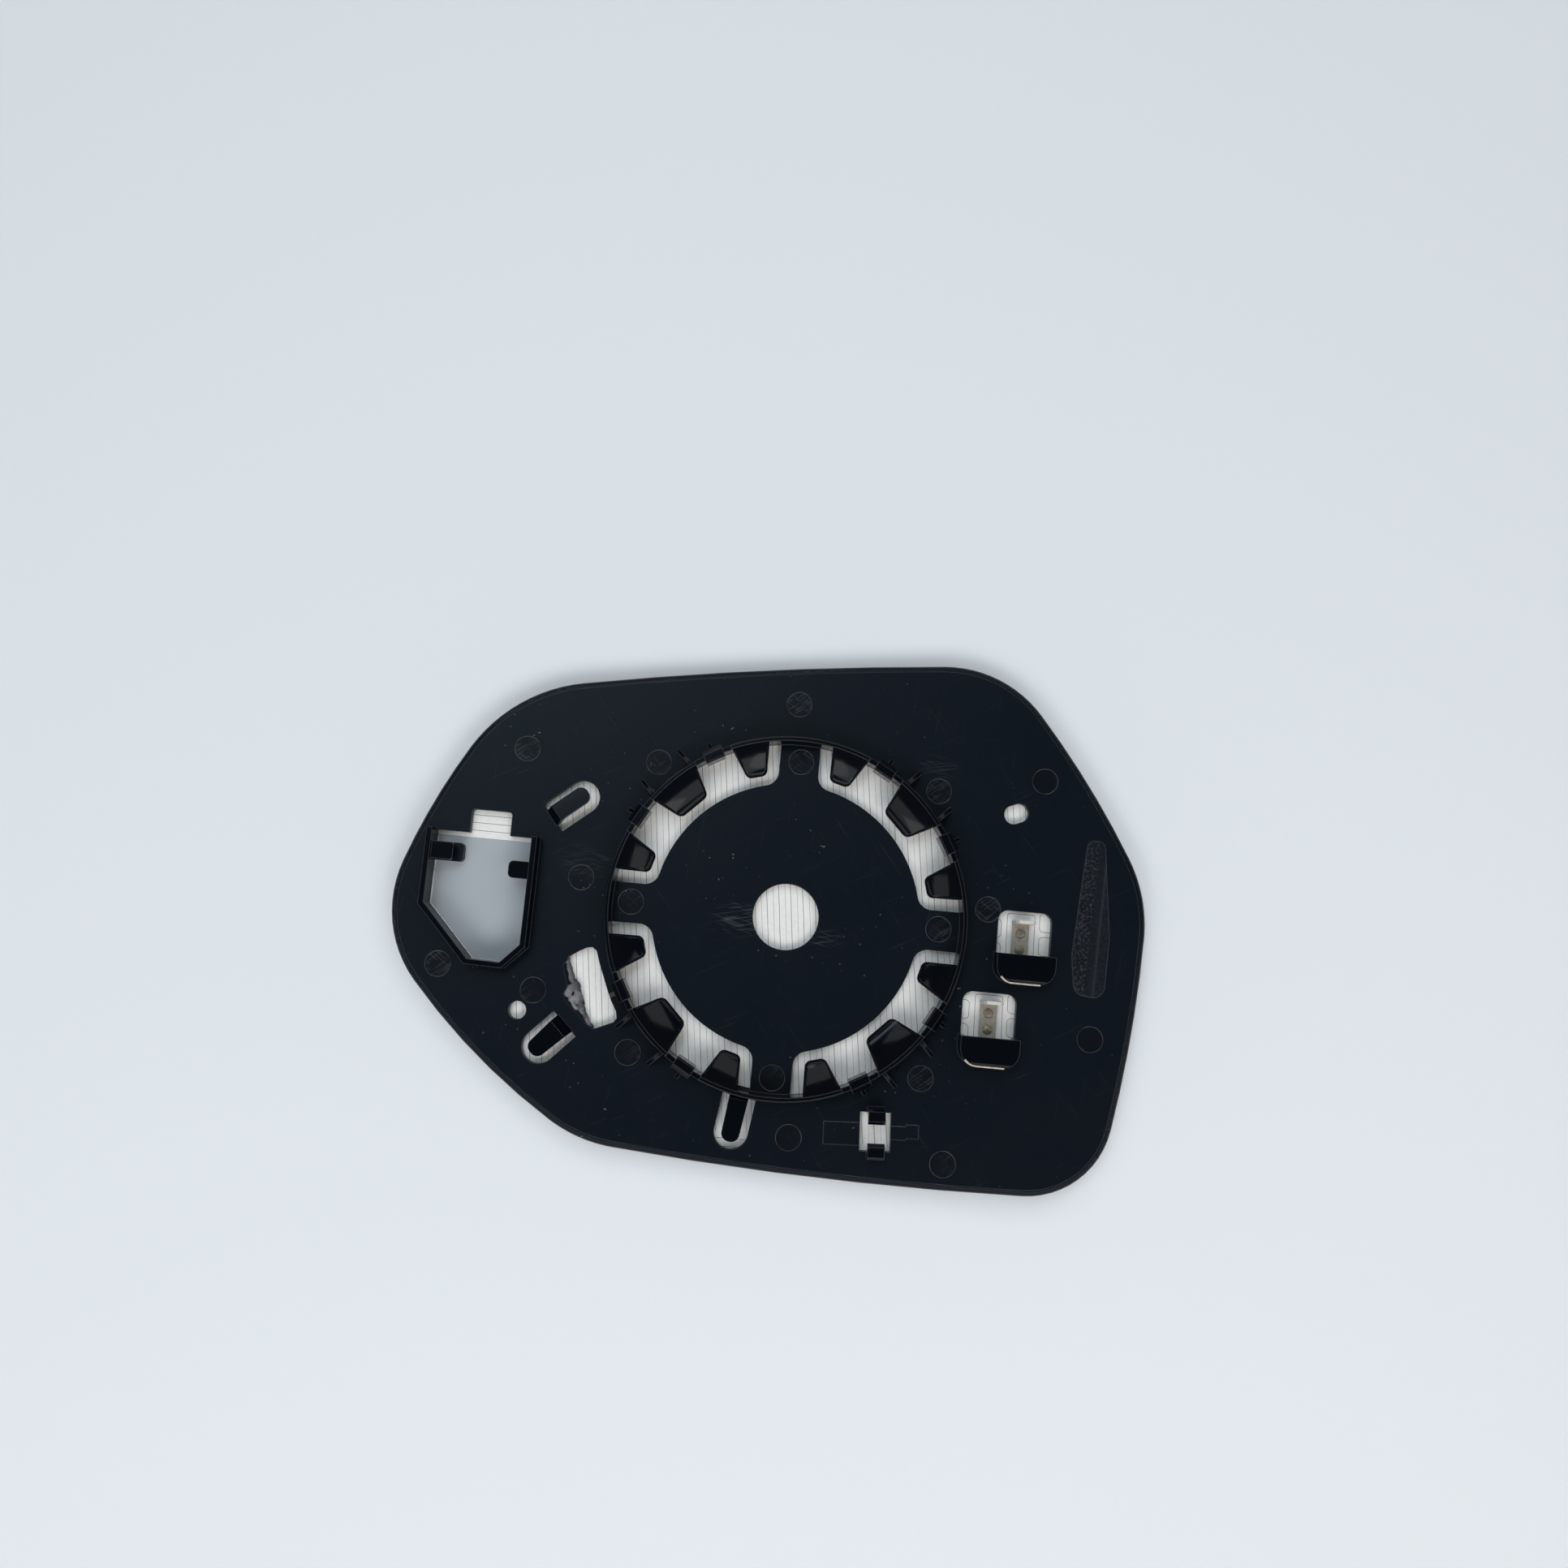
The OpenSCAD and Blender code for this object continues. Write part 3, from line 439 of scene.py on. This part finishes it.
turned_away = rounded_edges.node(
    "VectorMath", {"operation": "DOT_PRODUCT"}, {0: rounded_edges, 1: shape}, output=1
)
# Painted highlight: where the rounded-edge normal turns away from the surface's own, the edges
# are painted lighter grey, in patches
edge = (1 - turned_away).ramp(0.03, 0.2) * (0.55 + cloud * 0.9)
body_black = raised.math("MAXIMUM", in_mark * 0.8).mix(SATIN_BLACK, GLOSS_BLACK)
black = (edge * 0.85).mix(marks.mix(body_black, WEAR_AND_HIGHLIGHT_GREY), EDGE_HIGHLIGHT_GREY)
# Painted highlight: the wrinkled strip's creases and ridge are painted lighter, in the same grey
# as the worn scratches
black = (creased * 0.8 + ridge * on_patch * 0.25).mix(black, WEAR_AND_HIGHLIGHT_GREY)
plate_finish.set("Base Color", (specks * 0.3).mix(black, DUST))
satin = 0.29 + cloud * 0.08 + marks * 0.12 + on_patch * 0.08
plate_finish.set("Roughness", satin * (1 - polished) + polished * 0.15)
relief = (
    grain * 0.010 * (1 - polished) - marks * 0.01
    + creased * 0.22 + ridge * on_patch * 0.1
)
grained = plate_finish.place.node(
    "Bump", {},
    {"Strength": 0.6, "Distance": MM, "Height": relief, "Normal": rounded_edges},
)
plate_finish.set("Normal", grained)

# The twelve hooks of the clip ring are made below, with rolled edges, so the plain ones come off
HOOKS_WITHIN = 42.5
HOOKS_ABOVE = 0.9
BLOCK_ANGLES = (29.25, 60.75)
BLOCK_HALF = 4.0


def clear_hooks(form):
    """Takes the faces of the plain hooks off the plate's copy."""
    plain = []
    for face in form.faces:
        reach = min(vert.co.xy.length for vert in face.verts)
        middle = face.calc_center_median()
        lift = min(
            vert.co.z / MM - PLATE_BACK_LEVEL
            - vert.co.xy.length_squared / MM ** 2 / (2 * GLASS_RADIUS)
            for vert in face.verts
        )
        angle = math.degrees(math.atan2(middle.y, middle.x)) % 90
        at_block = min(abs(angle - block) for block in BLOCK_ANGLES) < BLOCK_HALF
        if reach < HOOKS_WITHIN * MM and lift > HOOKS_ABOVE and not at_block:
            plain.append(face)
    bmesh.ops.delete(form, geom=plain, context="FACES")


smooth_copy(
    "plate", "backing_plate", plate_finish, sharp_angle=24, cut=clear_hooks
)

# Burrs round the ejector marks
# Each ejector pin has left a fine raised burr where the plastic crept into its fit. It is part
# of the plate and catches the light where it has been rubbed.
PIN_PLACES = [
    (-67.2, 35.4), (-34.7, 35.1), (-1.3, 52.7), (0.4, 38.4), (35, 34.2), (60.8, 38.9),
    (49.2, 6.3), (37.5, 0.4), (75.7, -22.7), (35.9, -35.7), (0.2, -38.8), (5.4, -52.4),
    (42.6, -55.2), (-35.1, -35.9), (-59.4, -23.1), (-82.8, -18.8), (-50.8, 5.1), (-38.1, 0.3),
]
PIN_RADIUS = 3.1
BURR_RADIUS = 0.06
BURR_GREY = (0.052, 0.058, 0.065, 1)

burr_finish = Finish("burr_black", Roughness=0.35)
patchy = burr_finish.noise(0.35, detail=2).ramp(0.4, 0.62)
burr_finish.set("Base Color", patchy.mix(SATIN_BLACK, BURR_GREY))

burr_form = bmesh.new()
for pin_x, pin_y in PIN_PLACES:
    ring = bmesh.ops.create_circle(burr_form, radius=BURR_RADIUS * MM, segments=6)
    verts = ring["verts"]
    edges = list(dict.fromkeys(edge for vert in verts for edge in vert.link_edges))
    bmesh.ops.rotate(burr_form, verts=verts, matrix=Matrix.Rotation(math.pi / 2, 3, "X"))
    level = PLATE_BACK_LEVEL + (pin_x ** 2 + pin_y ** 2) / (2 * GLASS_RADIUS)
    centre = Vector((pin_x, pin_y, level)) * MM
    bmesh.ops.translate(burr_form, verts=verts, vec=centre + Vector((PIN_RADIUS * MM, 0, 0)))
    bmesh.ops.spin(
        burr_form, geom=verts + edges, cent=centre, axis=(0, 0, 1), dvec=(0, 0, 0),
        angle=2 * math.pi, steps=48, use_merge=True, use_normal_flip=False,
        use_duplicate=False,
    )
bmesh.ops.recalc_face_normals(burr_form, faces=burr_form.faces)
burr_mesh = bpy.data.meshes.new("pin_burrs")
burr_form.to_mesh(burr_mesh)
burr_form.free()
burr_mesh.materials.append(burr_finish.material)
burr_mesh.shade_smooth()
burrs = bpy.data.objects.new("pin_burrs", burr_mesh)
bpy.context.scene.collection.objects.link(burrs)
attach(burrs, "root")

# Hooks of the clip ring
# Four broad and eight narrow hooks lean inwards from the ring wall and let the drive's collar
# slide over their tops before it snaps under their noses. They come out of the mould glossy,
# with rolled edges.
RING_LEVEL = 1.764
HOOK_PROFILE = [
    (42.96, 6.2), (42.6, 6.2), (41.5, 5.38), (40.4, 4.66), (39.2, 4.0), (38.1, 3.49),
    (37.0, 3.06), (36.0, 2.74), (34.9, 2.46), (34.9, 1.2), (37.7, 1.2), (42.96, 2.925),
]
HOOK_ROOT = 43.96
HOOK_TIP = 34.9
BROAD_SIDES = ((-7.3, -4.2), (7.3, 4.2))
NARROW_SIDES = ((-4.1, -1.65), (6.1, 3.2))
TIP_ROUNDING = 1.6
EDGE_ROLL = 0.75
WALL_STOP = 41.8
TOP_FACING = 0.6
SIDE_FACING = 0.3
HOOK_SHARP = 32
BROAD_TURNS = (45, 135, 225, 315)
NARROW_TURNS = (15.5, 105.5, 195.5, 285.5)
NARROW_APART = 31

hook_finish = Finish("glossy_black")
hook_finish.set("Specular IOR Level", 0.13)
hook_finish.set("Base Color", GLOSS_BLACK)
flow = hook_finish.noise(0.25, detail=2)
hairs = hook_finish.noise(3.5, detail=3)
hook_finish.set("Roughness", 0.07 + flow * 0.05 + hairs * 0.03)
hook_finish.bump(flow * 0.05 + hairs * 0.003, 0.35)


def make_hook(name, sides, turn, mirrored):
    """One hook, drawn as its side view, pulled sideways, tapered and rolled at its edges."""
    form = bmesh.new()
    corners = [form.verts.new((x * MM, 0, z * MM)) for x, z in HOOK_PROFILE]
    pulled = bmesh.ops.extrude_face_region(form, geom=[form.faces.new(corners)])
    far = {item for item in pulled["geom"] if isinstance(item, bmesh.types.BMVert)}
    for vert in form.verts:
        root_y, tip_y = sides[1 if vert in far else 0]
        share = (vert.co.x / MM - HOOK_TIP) / (HOOK_ROOT - HOOK_TIP)
        vert.co.y = (tip_y + (root_y - tip_y) * share) * MM
    bmesh.ops.recalc_face_normals(form, faces=form.faces)
    upright = [
        edge for edge in form.edges
        if all(abs(vert.co.x - HOOK_TIP * MM) < 0.01 * MM for vert in edge.verts)
        and abs(edge.verts[0].co.z - edge.verts[1].co.z) > 0.5 * MM
    ]
    bmesh.ops.bevel(
        form, geom=upright, offset=TIP_ROUNDING * MM, offset_type="OFFSET", segments=6,
        profile=0.5, affect="EDGES", material=-1, clamp_overlap=True,
    )
    rim = [
        edge for edge in form.edges
        if len(edge.link_faces) == 2
        and max(face.normal.z for face in edge.link_faces) > TOP_FACING
        and min(abs(face.normal.z) for face in edge.link_faces) < SIDE_FACING
        and max(vert.co.x for vert in edge.verts) < WALL_STOP * MM
    ]
    bmesh.ops.bevel(
        form, geom=rim, offset=EDGE_ROLL * MM, offset_type="OFFSET", segments=4,
        profile=0.5, affect="EDGES", material=-1, clamp_overlap=False,
    )
    bmesh.ops.translate(form, verts=form.verts, vec=(0, 0, RING_LEVEL * MM))
    if mirrored:
        bmesh.ops.scale(form, vec=(1, -1, 1), verts=form.verts)
    bmesh.ops.rotate(
        form, verts=form.verts, matrix=Matrix.Rotation(math.radians(turn), 3, "Z")
    )
    bmesh.ops.recalc_face_normals(form, faces=form.faces)
    for face in form.faces:
        face.smooth = True
    for edge in form.edges:
        edge.smooth = edge.calc_face_angle(math.pi) < math.radians(HOOK_SHARP)
    mesh = bpy.data.meshes.new(name)
    form.to_mesh(mesh)
    form.free()
    mesh.materials.append(hook_finish.material)
    hook = bpy.data.objects.new(name, mesh)
    bpy.context.scene.collection.objects.link(hook)
    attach(hook, "root")


for number, turn in enumerate(BROAD_TURNS, 1):
    make_hook(f"broad_hook_{number}", BROAD_SIDES, turn, mirrored=False)
for number, turn in enumerate(NARROW_TURNS, 1):
    make_hook(f"narrow_hook_{number}_left", NARROW_SIDES, turn, mirrored=False)
    partner = turn - NARROW_APART
    make_hook(f"narrow_hook_{number}_right", NARROW_SIDES, partner, mirrored=True)

# Lips of the hoods
# The two hoods over the terminals end in a narrow rounded lip along their rear edge and one
# corner. Its tan is painted shade: the colour of the white foil as it shows in shade behind
# the hood.
HOOD_PLACES = [(58.4, -3.9), (51.2, -24.2)]
HOOD_HALF_WIDTH = 7.1
HOOD_LENGTH = 7.1
HOOD_CORNER = 4.2
HOOD_HEIGHT = 5.6
HOOD_BEVEL = 0.9
LIP_TURNS = range(222, 271, 8)
LIP_END = 3.4
LIP_IN = 0.2
LIP_SUNK = 0.12
LIP_HALF = 0.28
LIP_SHADED_FOIL = (0.52, 0.45, 0.38, 1)
LIP_SHADE = (0.34, 0.29, 0.24, 1)

lip_finish = Finish("shaded_foil_lip", Roughness=0.35)
shade = lip_finish.noise(1.1, detail=3).ramp(0.3, 0.7)
# Painted shade: the foil's white darkened to tan, with darker patches
lip_finish.set("Base Color", shade.mix(LIP_SHADED_FOIL, LIP_SHADE))
lip_finish.bump(shade * 0.03, 0.5)

for number, (hood_x, hood_y) in enumerate(HOOD_PLACES, 1):
    reach = HOOD_CORNER - LIP_IN
    line = [
        (HOOD_CORNER - HOOD_HALF_WIDTH + reach * math.cos(math.radians(turn)),
         HOOD_CORNER - HOOD_LENGTH + reach * math.sin(math.radians(turn)))
        for turn in LIP_TURNS
    ] + [(HOOD_HALF_WIDTH - LIP_END, LIP_IN - HOOD_LENGTH)]
    hood_top = PLATE_BACK_LEVEL + (hood_x ** 2 + hood_y ** 2) / (2 * GLASS_RADIUS) + HOOD_HEIGHT
    curve = bpy.data.curves.new(f"hood_lip_{number}", "CURVE")
    curve.dimensions = "3D"
    curve.bevel_depth = LIP_HALF * MM
    curve.bevel_resolution = 3
    curve.use_fill_caps = True
    spline = curve.splines.new("POLY")
    spline.points.add(len(line) - 1)
    for point, (line_x, line_y) in zip(spline.points, line):
        drop = max(0, HOOD_BEVEL - HOOD_LENGTH - line_y) + LIP_SUNK
        point.co = ((hood_x + line_x) * MM, (hood_y + line_y) * MM, (hood_top - drop) * MM, 1)
    curve.materials.append(lip_finish.material)
    lip = bpy.data.objects.new(f"hood_lip_{number}", curve)
    bpy.context.scene.collection.objects.link(lip)
    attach(lip, "root")

# Torn plastic
# Beside the ring a piece of the plate has been broken out. The tear has left a ledge of lumpy,
# stretched plastic, which has turned pale where it was pulled.
TORN_BLACK = (0.022, 0.027, 0.031, 1)
TORN_PALE = (0.20, 0.19, 0.20, 1)
LUMPS = [
    (-52.1, -15.2, 0.9, 0.7, 70), (-51.3, -17.2, 1.7, 0.7, 110), (-50.6, -19.2, 1.4, 0.8, 100),
    (-51.0, -22.6, 1.7, 1.1, 70), (-49.3, -21.4, 1.5, 1.2, 110), (-48.4, -24.0, 1.8, 1.2, 110),
    (-49.9, -24.4, 1.1, 0.8, 20), (-49.2, -26.1, 1.3, 0.6, 130), (-47.3, -26.6, 1.6, 0.9, 115),
    (-46.1, -28.6, 1.6, 0.7, 115), (-45.0, -30.2, 1.2, 0.6, 150),
]
LUMP_HEIGHT = 0.55
LUMP_LEVEL = 0.05
PALE_LEAN = 0.35
PALE_EDGE = -57.4
TORN_GRAIN = 0.16

torn_finish = Finish("torn_black", Roughness=0.6)
stretched = torn_finish.noise(0.42, detail=3, roughness=0.6).ramp(0.44, 0.62)
edge_side = 1 - (torn_finish.x + torn_finish.y * PALE_LEAN - PALE_EDGE).ramp(-1.4, 1.6)
pale = (stretched * 0.55 + edge_side * 0.6).math("MINIMUM", 1)
torn_finish.set("Base Color", pale.mix(TORN_BLACK, TORN_PALE))
torn_finish.bump(torn_finish.noise(2.2, detail=4) * 0.12, 0.7)

torn_form = bmesh.new()
for lump_x, lump_y, half_length, half_width, turn in LUMPS:
    lump = bmesh.ops.create_icosphere(torn_form, subdivisions=3, radius=MM)
    verts = lump["verts"]
    bmesh.ops.scale(torn_form, vec=(half_length, half_width, LUMP_HEIGHT), verts=verts)
    bmesh.ops.rotate(
        torn_form, verts=verts, matrix=Matrix.Rotation(math.radians(turn), 3, "Z")
    )
    level = LUMP_LEVEL + (lump_x ** 2 + lump_y ** 2) / (2 * GLASS_RADIUS)
    bmesh.ops.translate(torn_form, verts=verts, vec=(lump_x * MM, lump_y * MM, level * MM))
torn_mesh = bpy.data.meshes.new("torn_ledge")
torn_form.to_mesh(torn_mesh)
torn_form.free()
torn_mesh.materials.append(torn_finish.material)
torn_ledge = bpy.data.objects.new("torn_ledge", torn_mesh)
bpy.context.scene.collection.objects.link(torn_ledge)
joined = torn_ledge.modifiers.new("joined", "REMESH")
joined.mode = "VOXEL"
joined.voxel_size = TORN_GRAIN * MM
joined.use_smooth_shade = True
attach(torn_ledge, "root")

# Terminals and rivets
# Each terminal is a strip of tinned sheet riveted to the foil, with its end bent up as a blade
# for the heater's lead. The rivets have low round heads.
TIN = (0.36, 0.325, 0.27, 1)
TIN_DARK = (0.22, 0.195, 0.155, 1)
BLADE_BRIGHT = (0.62, 0.58, 0.54, 1)
BLADE_LEVEL = 0.6
RIVET_BROWN = (0.23, 0.195, 0.14, 1)
RIVET_DARK = (0.13, 0.11, 0.08, 1)
BLADES = {"upper": "upper_terminal", "lower": "lower_terminal"}
RIVETS = [node for node in sorted(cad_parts) if "rivet" in node]

tin_finish = Finish("tinned_sheet", Metallic=0.35)
stain = tin_finish.noise(0.9, detail=5, roughness=0.7).ramp(0.4, 0.75)
bent_up = tin_finish.above(BLADE_LEVEL).ramp(0, 0.6)
tin_finish.set("Base Color", bent_up.mix(stain.mix(TIN, TIN_DARK), BLADE_BRIGHT))
tin_finish.set("Roughness", 0.38 + stain * 0.2)
tin_finish.bump(tin_finish.noise(4, detail=3) * 0.015, 0.5)
rivet_finish = Finish("rivet_heads", Metallic=0.35)
tarnish = rivet_finish.noise(1.2, detail=4, roughness=0.65).ramp(0.4, 0.7)
rivet_finish.set("Base Color", tarnish.mix(RIVET_BROWN, RIVET_DARK))
rivet_finish.set("Roughness", 0.34 + tarnish * 0.2)
rivet_finish.bump(rivet_finish.noise(5, detail=3) * 0.012, 0.5)
for end, node in BLADES.items():
    smooth_copy(end + "_blade", node, tin_finish, sharp_angle=30)
for node in RIVETS:
    smooth_copy(node + "_head", node, rivet_finish, sharp_angle=50)

# Floor and light
# A plain pale floor under the part. Three broad soft lamps stand round its lower side and a
# wider one at its upper side, a small cool one hangs above it, and a faint warm one lies low in
# front, under a sky that is dark overhead.
FLOOR_SIZE = 6
FLOOR_COLOUR = (0.72, 0.74, 0.76, 1)
SKY_ABOVE = (0.065, 0.076, 0.088, 1)
SKY_MIDDLE = (0.13, 0.135, 0.145, 1)
SKY_LEVEL = (1.25, 1.25, 1.25, 1)
SKY_BELOW = (0.88, 0.89, 0.92, 1)
ABOVE_STEP = (0.35, 0.75)
LEVEL_STEP = (0.05, 0.32)
BELOW_STEP = (-0.3, 0)
BACKDROP = (0.76, 0.775, 0.80, 1)
FADE_START = 320
FADE_END = 900
PANEL_TILT = 39
PANEL_TURNS = (-140, -90, -38)
PANEL_DISTANCE = 1.0
PANEL_SIZE = (1.0, 0.42)
PANEL_POWERS = (2.2, 3.3, 3.0)
OVERHEAD_PLACE = (-0.28, 0.36, 1.2)
OVERHEAD_SIZE = (0.45, 0.35)
OVERHEAD_POWER = 2.7
OVERHEAD_COLOUR = (0.80, 1.0, 1.12)
FAR_PLACE = (0.05, 0.70, 0.86)
FAR_SIZE = (1.4, 0.5)
FAR_POWER = 3.9
LOW_PLACE = (-0.1, -1.3, 0.28)
LOW_SIZE = (1.2, 0.2)
LOW_POWER = 0.8
LOW_COLOUR = (1.0, 0.86, 0.72)

floor_form = bmesh.new()
bmesh.ops.create_grid(floor_form, x_segments=1, y_segments=1, size=FLOOR_SIZE / 2)
bmesh.ops.translate(floor_form, verts=floor_form.verts, vec=(0, 0, solid_box[0].z))
floor_mesh = bpy.data.meshes.new("floor")
floor_form.to_mesh(floor_mesh)
floor_form.free()
floor = bpy.data.objects.new("floor", floor_mesh)
bpy.context.scene.collection.objects.link(floor)
floor_finish = Finish("pale_floor", Roughness=0.7)
floor_finish.set("Base Color", FLOOR_COLOUR)
floor_mesh.materials.append(floor_finish.material)

# One-sided and left out of reflections, so that the glass can be looked at from below. Far from
# the part it fades into the plain backdrop.
floor_tree = floor_finish.material.node_tree
turned_over = floor_finish.place.node("NewGeometry", {}, {}, output="Backfacing")
seen = floor_finish.place.node("LightPath", {}, {}, output="Is Camera Ray")
reflected = floor_finish.place.node("LightPath", {}, {}, output="Is Glossy Ray")
from_part = (floor_finish.x * floor_finish.x + floor_finish.y * floor_finish.y).math("SQRT")
far = from_part.ramp(FADE_START, FADE_END) * seen
opaque = Value(floor_tree, floor_finish.shader.outputs[0])
backdrop = seen.node("Emission", {}, {"Color": BACKDROP, "Strength": 1.0})
faded = seen.node("MixShader", {}, {0: far, 1: opaque, 2: backdrop})
clear = seen.node("BsdfTransparent", {}, {})
hidden = turned_over.math("MAXIMUM", reflected)
one_sided = hidden.node("MixShader", {}, {0: hidden, 1: faded, 2: clear})
floor_tree.links.new(one_sided.socket, floor_tree.nodes["Material Output"].inputs["Surface"])


def softbox(name, size, power, place, colour=(1, 1, 1)):
    """A rectangular lamp that faces the middle of the part."""
    lamp = bpy.data.lights.new(name, "AREA")
    lamp.shape = "RECTANGLE"
    lamp.size, lamp.size_y = size
    lamp.energy = power
    lamp.color = colour
    shown = bpy.data.objects.new(name, lamp)
    bpy.context.scene.collection.objects.link(shown)
    shown.location = place
    shown.rotation_euler = Vector(place).to_track_quat("Z", "Y").to_euler()


for number, (turn, power) in enumerate(zip(PANEL_TURNS, PANEL_POWERS), 1):
    level = PANEL_DISTANCE * math.sin(math.radians(PANEL_TILT))
    panel_place = (
        level * math.cos(math.radians(turn)),
        level * math.sin(math.radians(turn)),
        PANEL_DISTANCE * math.cos(math.radians(PANEL_TILT)),
    )
    softbox(f"soft_panel_{number}", PANEL_SIZE, power, panel_place)
softbox("overhead_lamp", OVERHEAD_SIZE, OVERHEAD_POWER, OVERHEAD_PLACE, OVERHEAD_COLOUR)
softbox("far_lamp", FAR_SIZE, FAR_POWER, FAR_PLACE)
softbox("low_lamp", LOW_SIZE, LOW_POWER, LOW_PLACE, LOW_COLOUR)

world = bpy.data.worlds.new("studio")
bpy.context.scene.world = world
world.use_nodes = True
sky_tree = world.node_tree
direction = Value(sky_tree, sky_tree.nodes.new("ShaderNodeTexCoord").outputs["Generated"])
up = direction.node("SeparateXYZ", {}, {0: direction}, output=2)
dome = up.ramp(*ABOVE_STEP).mix(SKY_MIDDLE, SKY_ABOVE)
from_level = up.ramp(*LEVEL_STEP).mix(SKY_LEVEL, dome)
sky = up.ramp(*BELOW_STEP).mix(SKY_BELOW, from_level)
looked_at = direction.node("LightPath", {}, {}, output="Is Camera Ray")
background = looked_at.mix(sky, BACKDROP)
sky_tree.links.new(background.socket, sky_tree.nodes["Background"].inputs["Color"])

bpy.context.scene.view_settings.view_transform = "Standard"
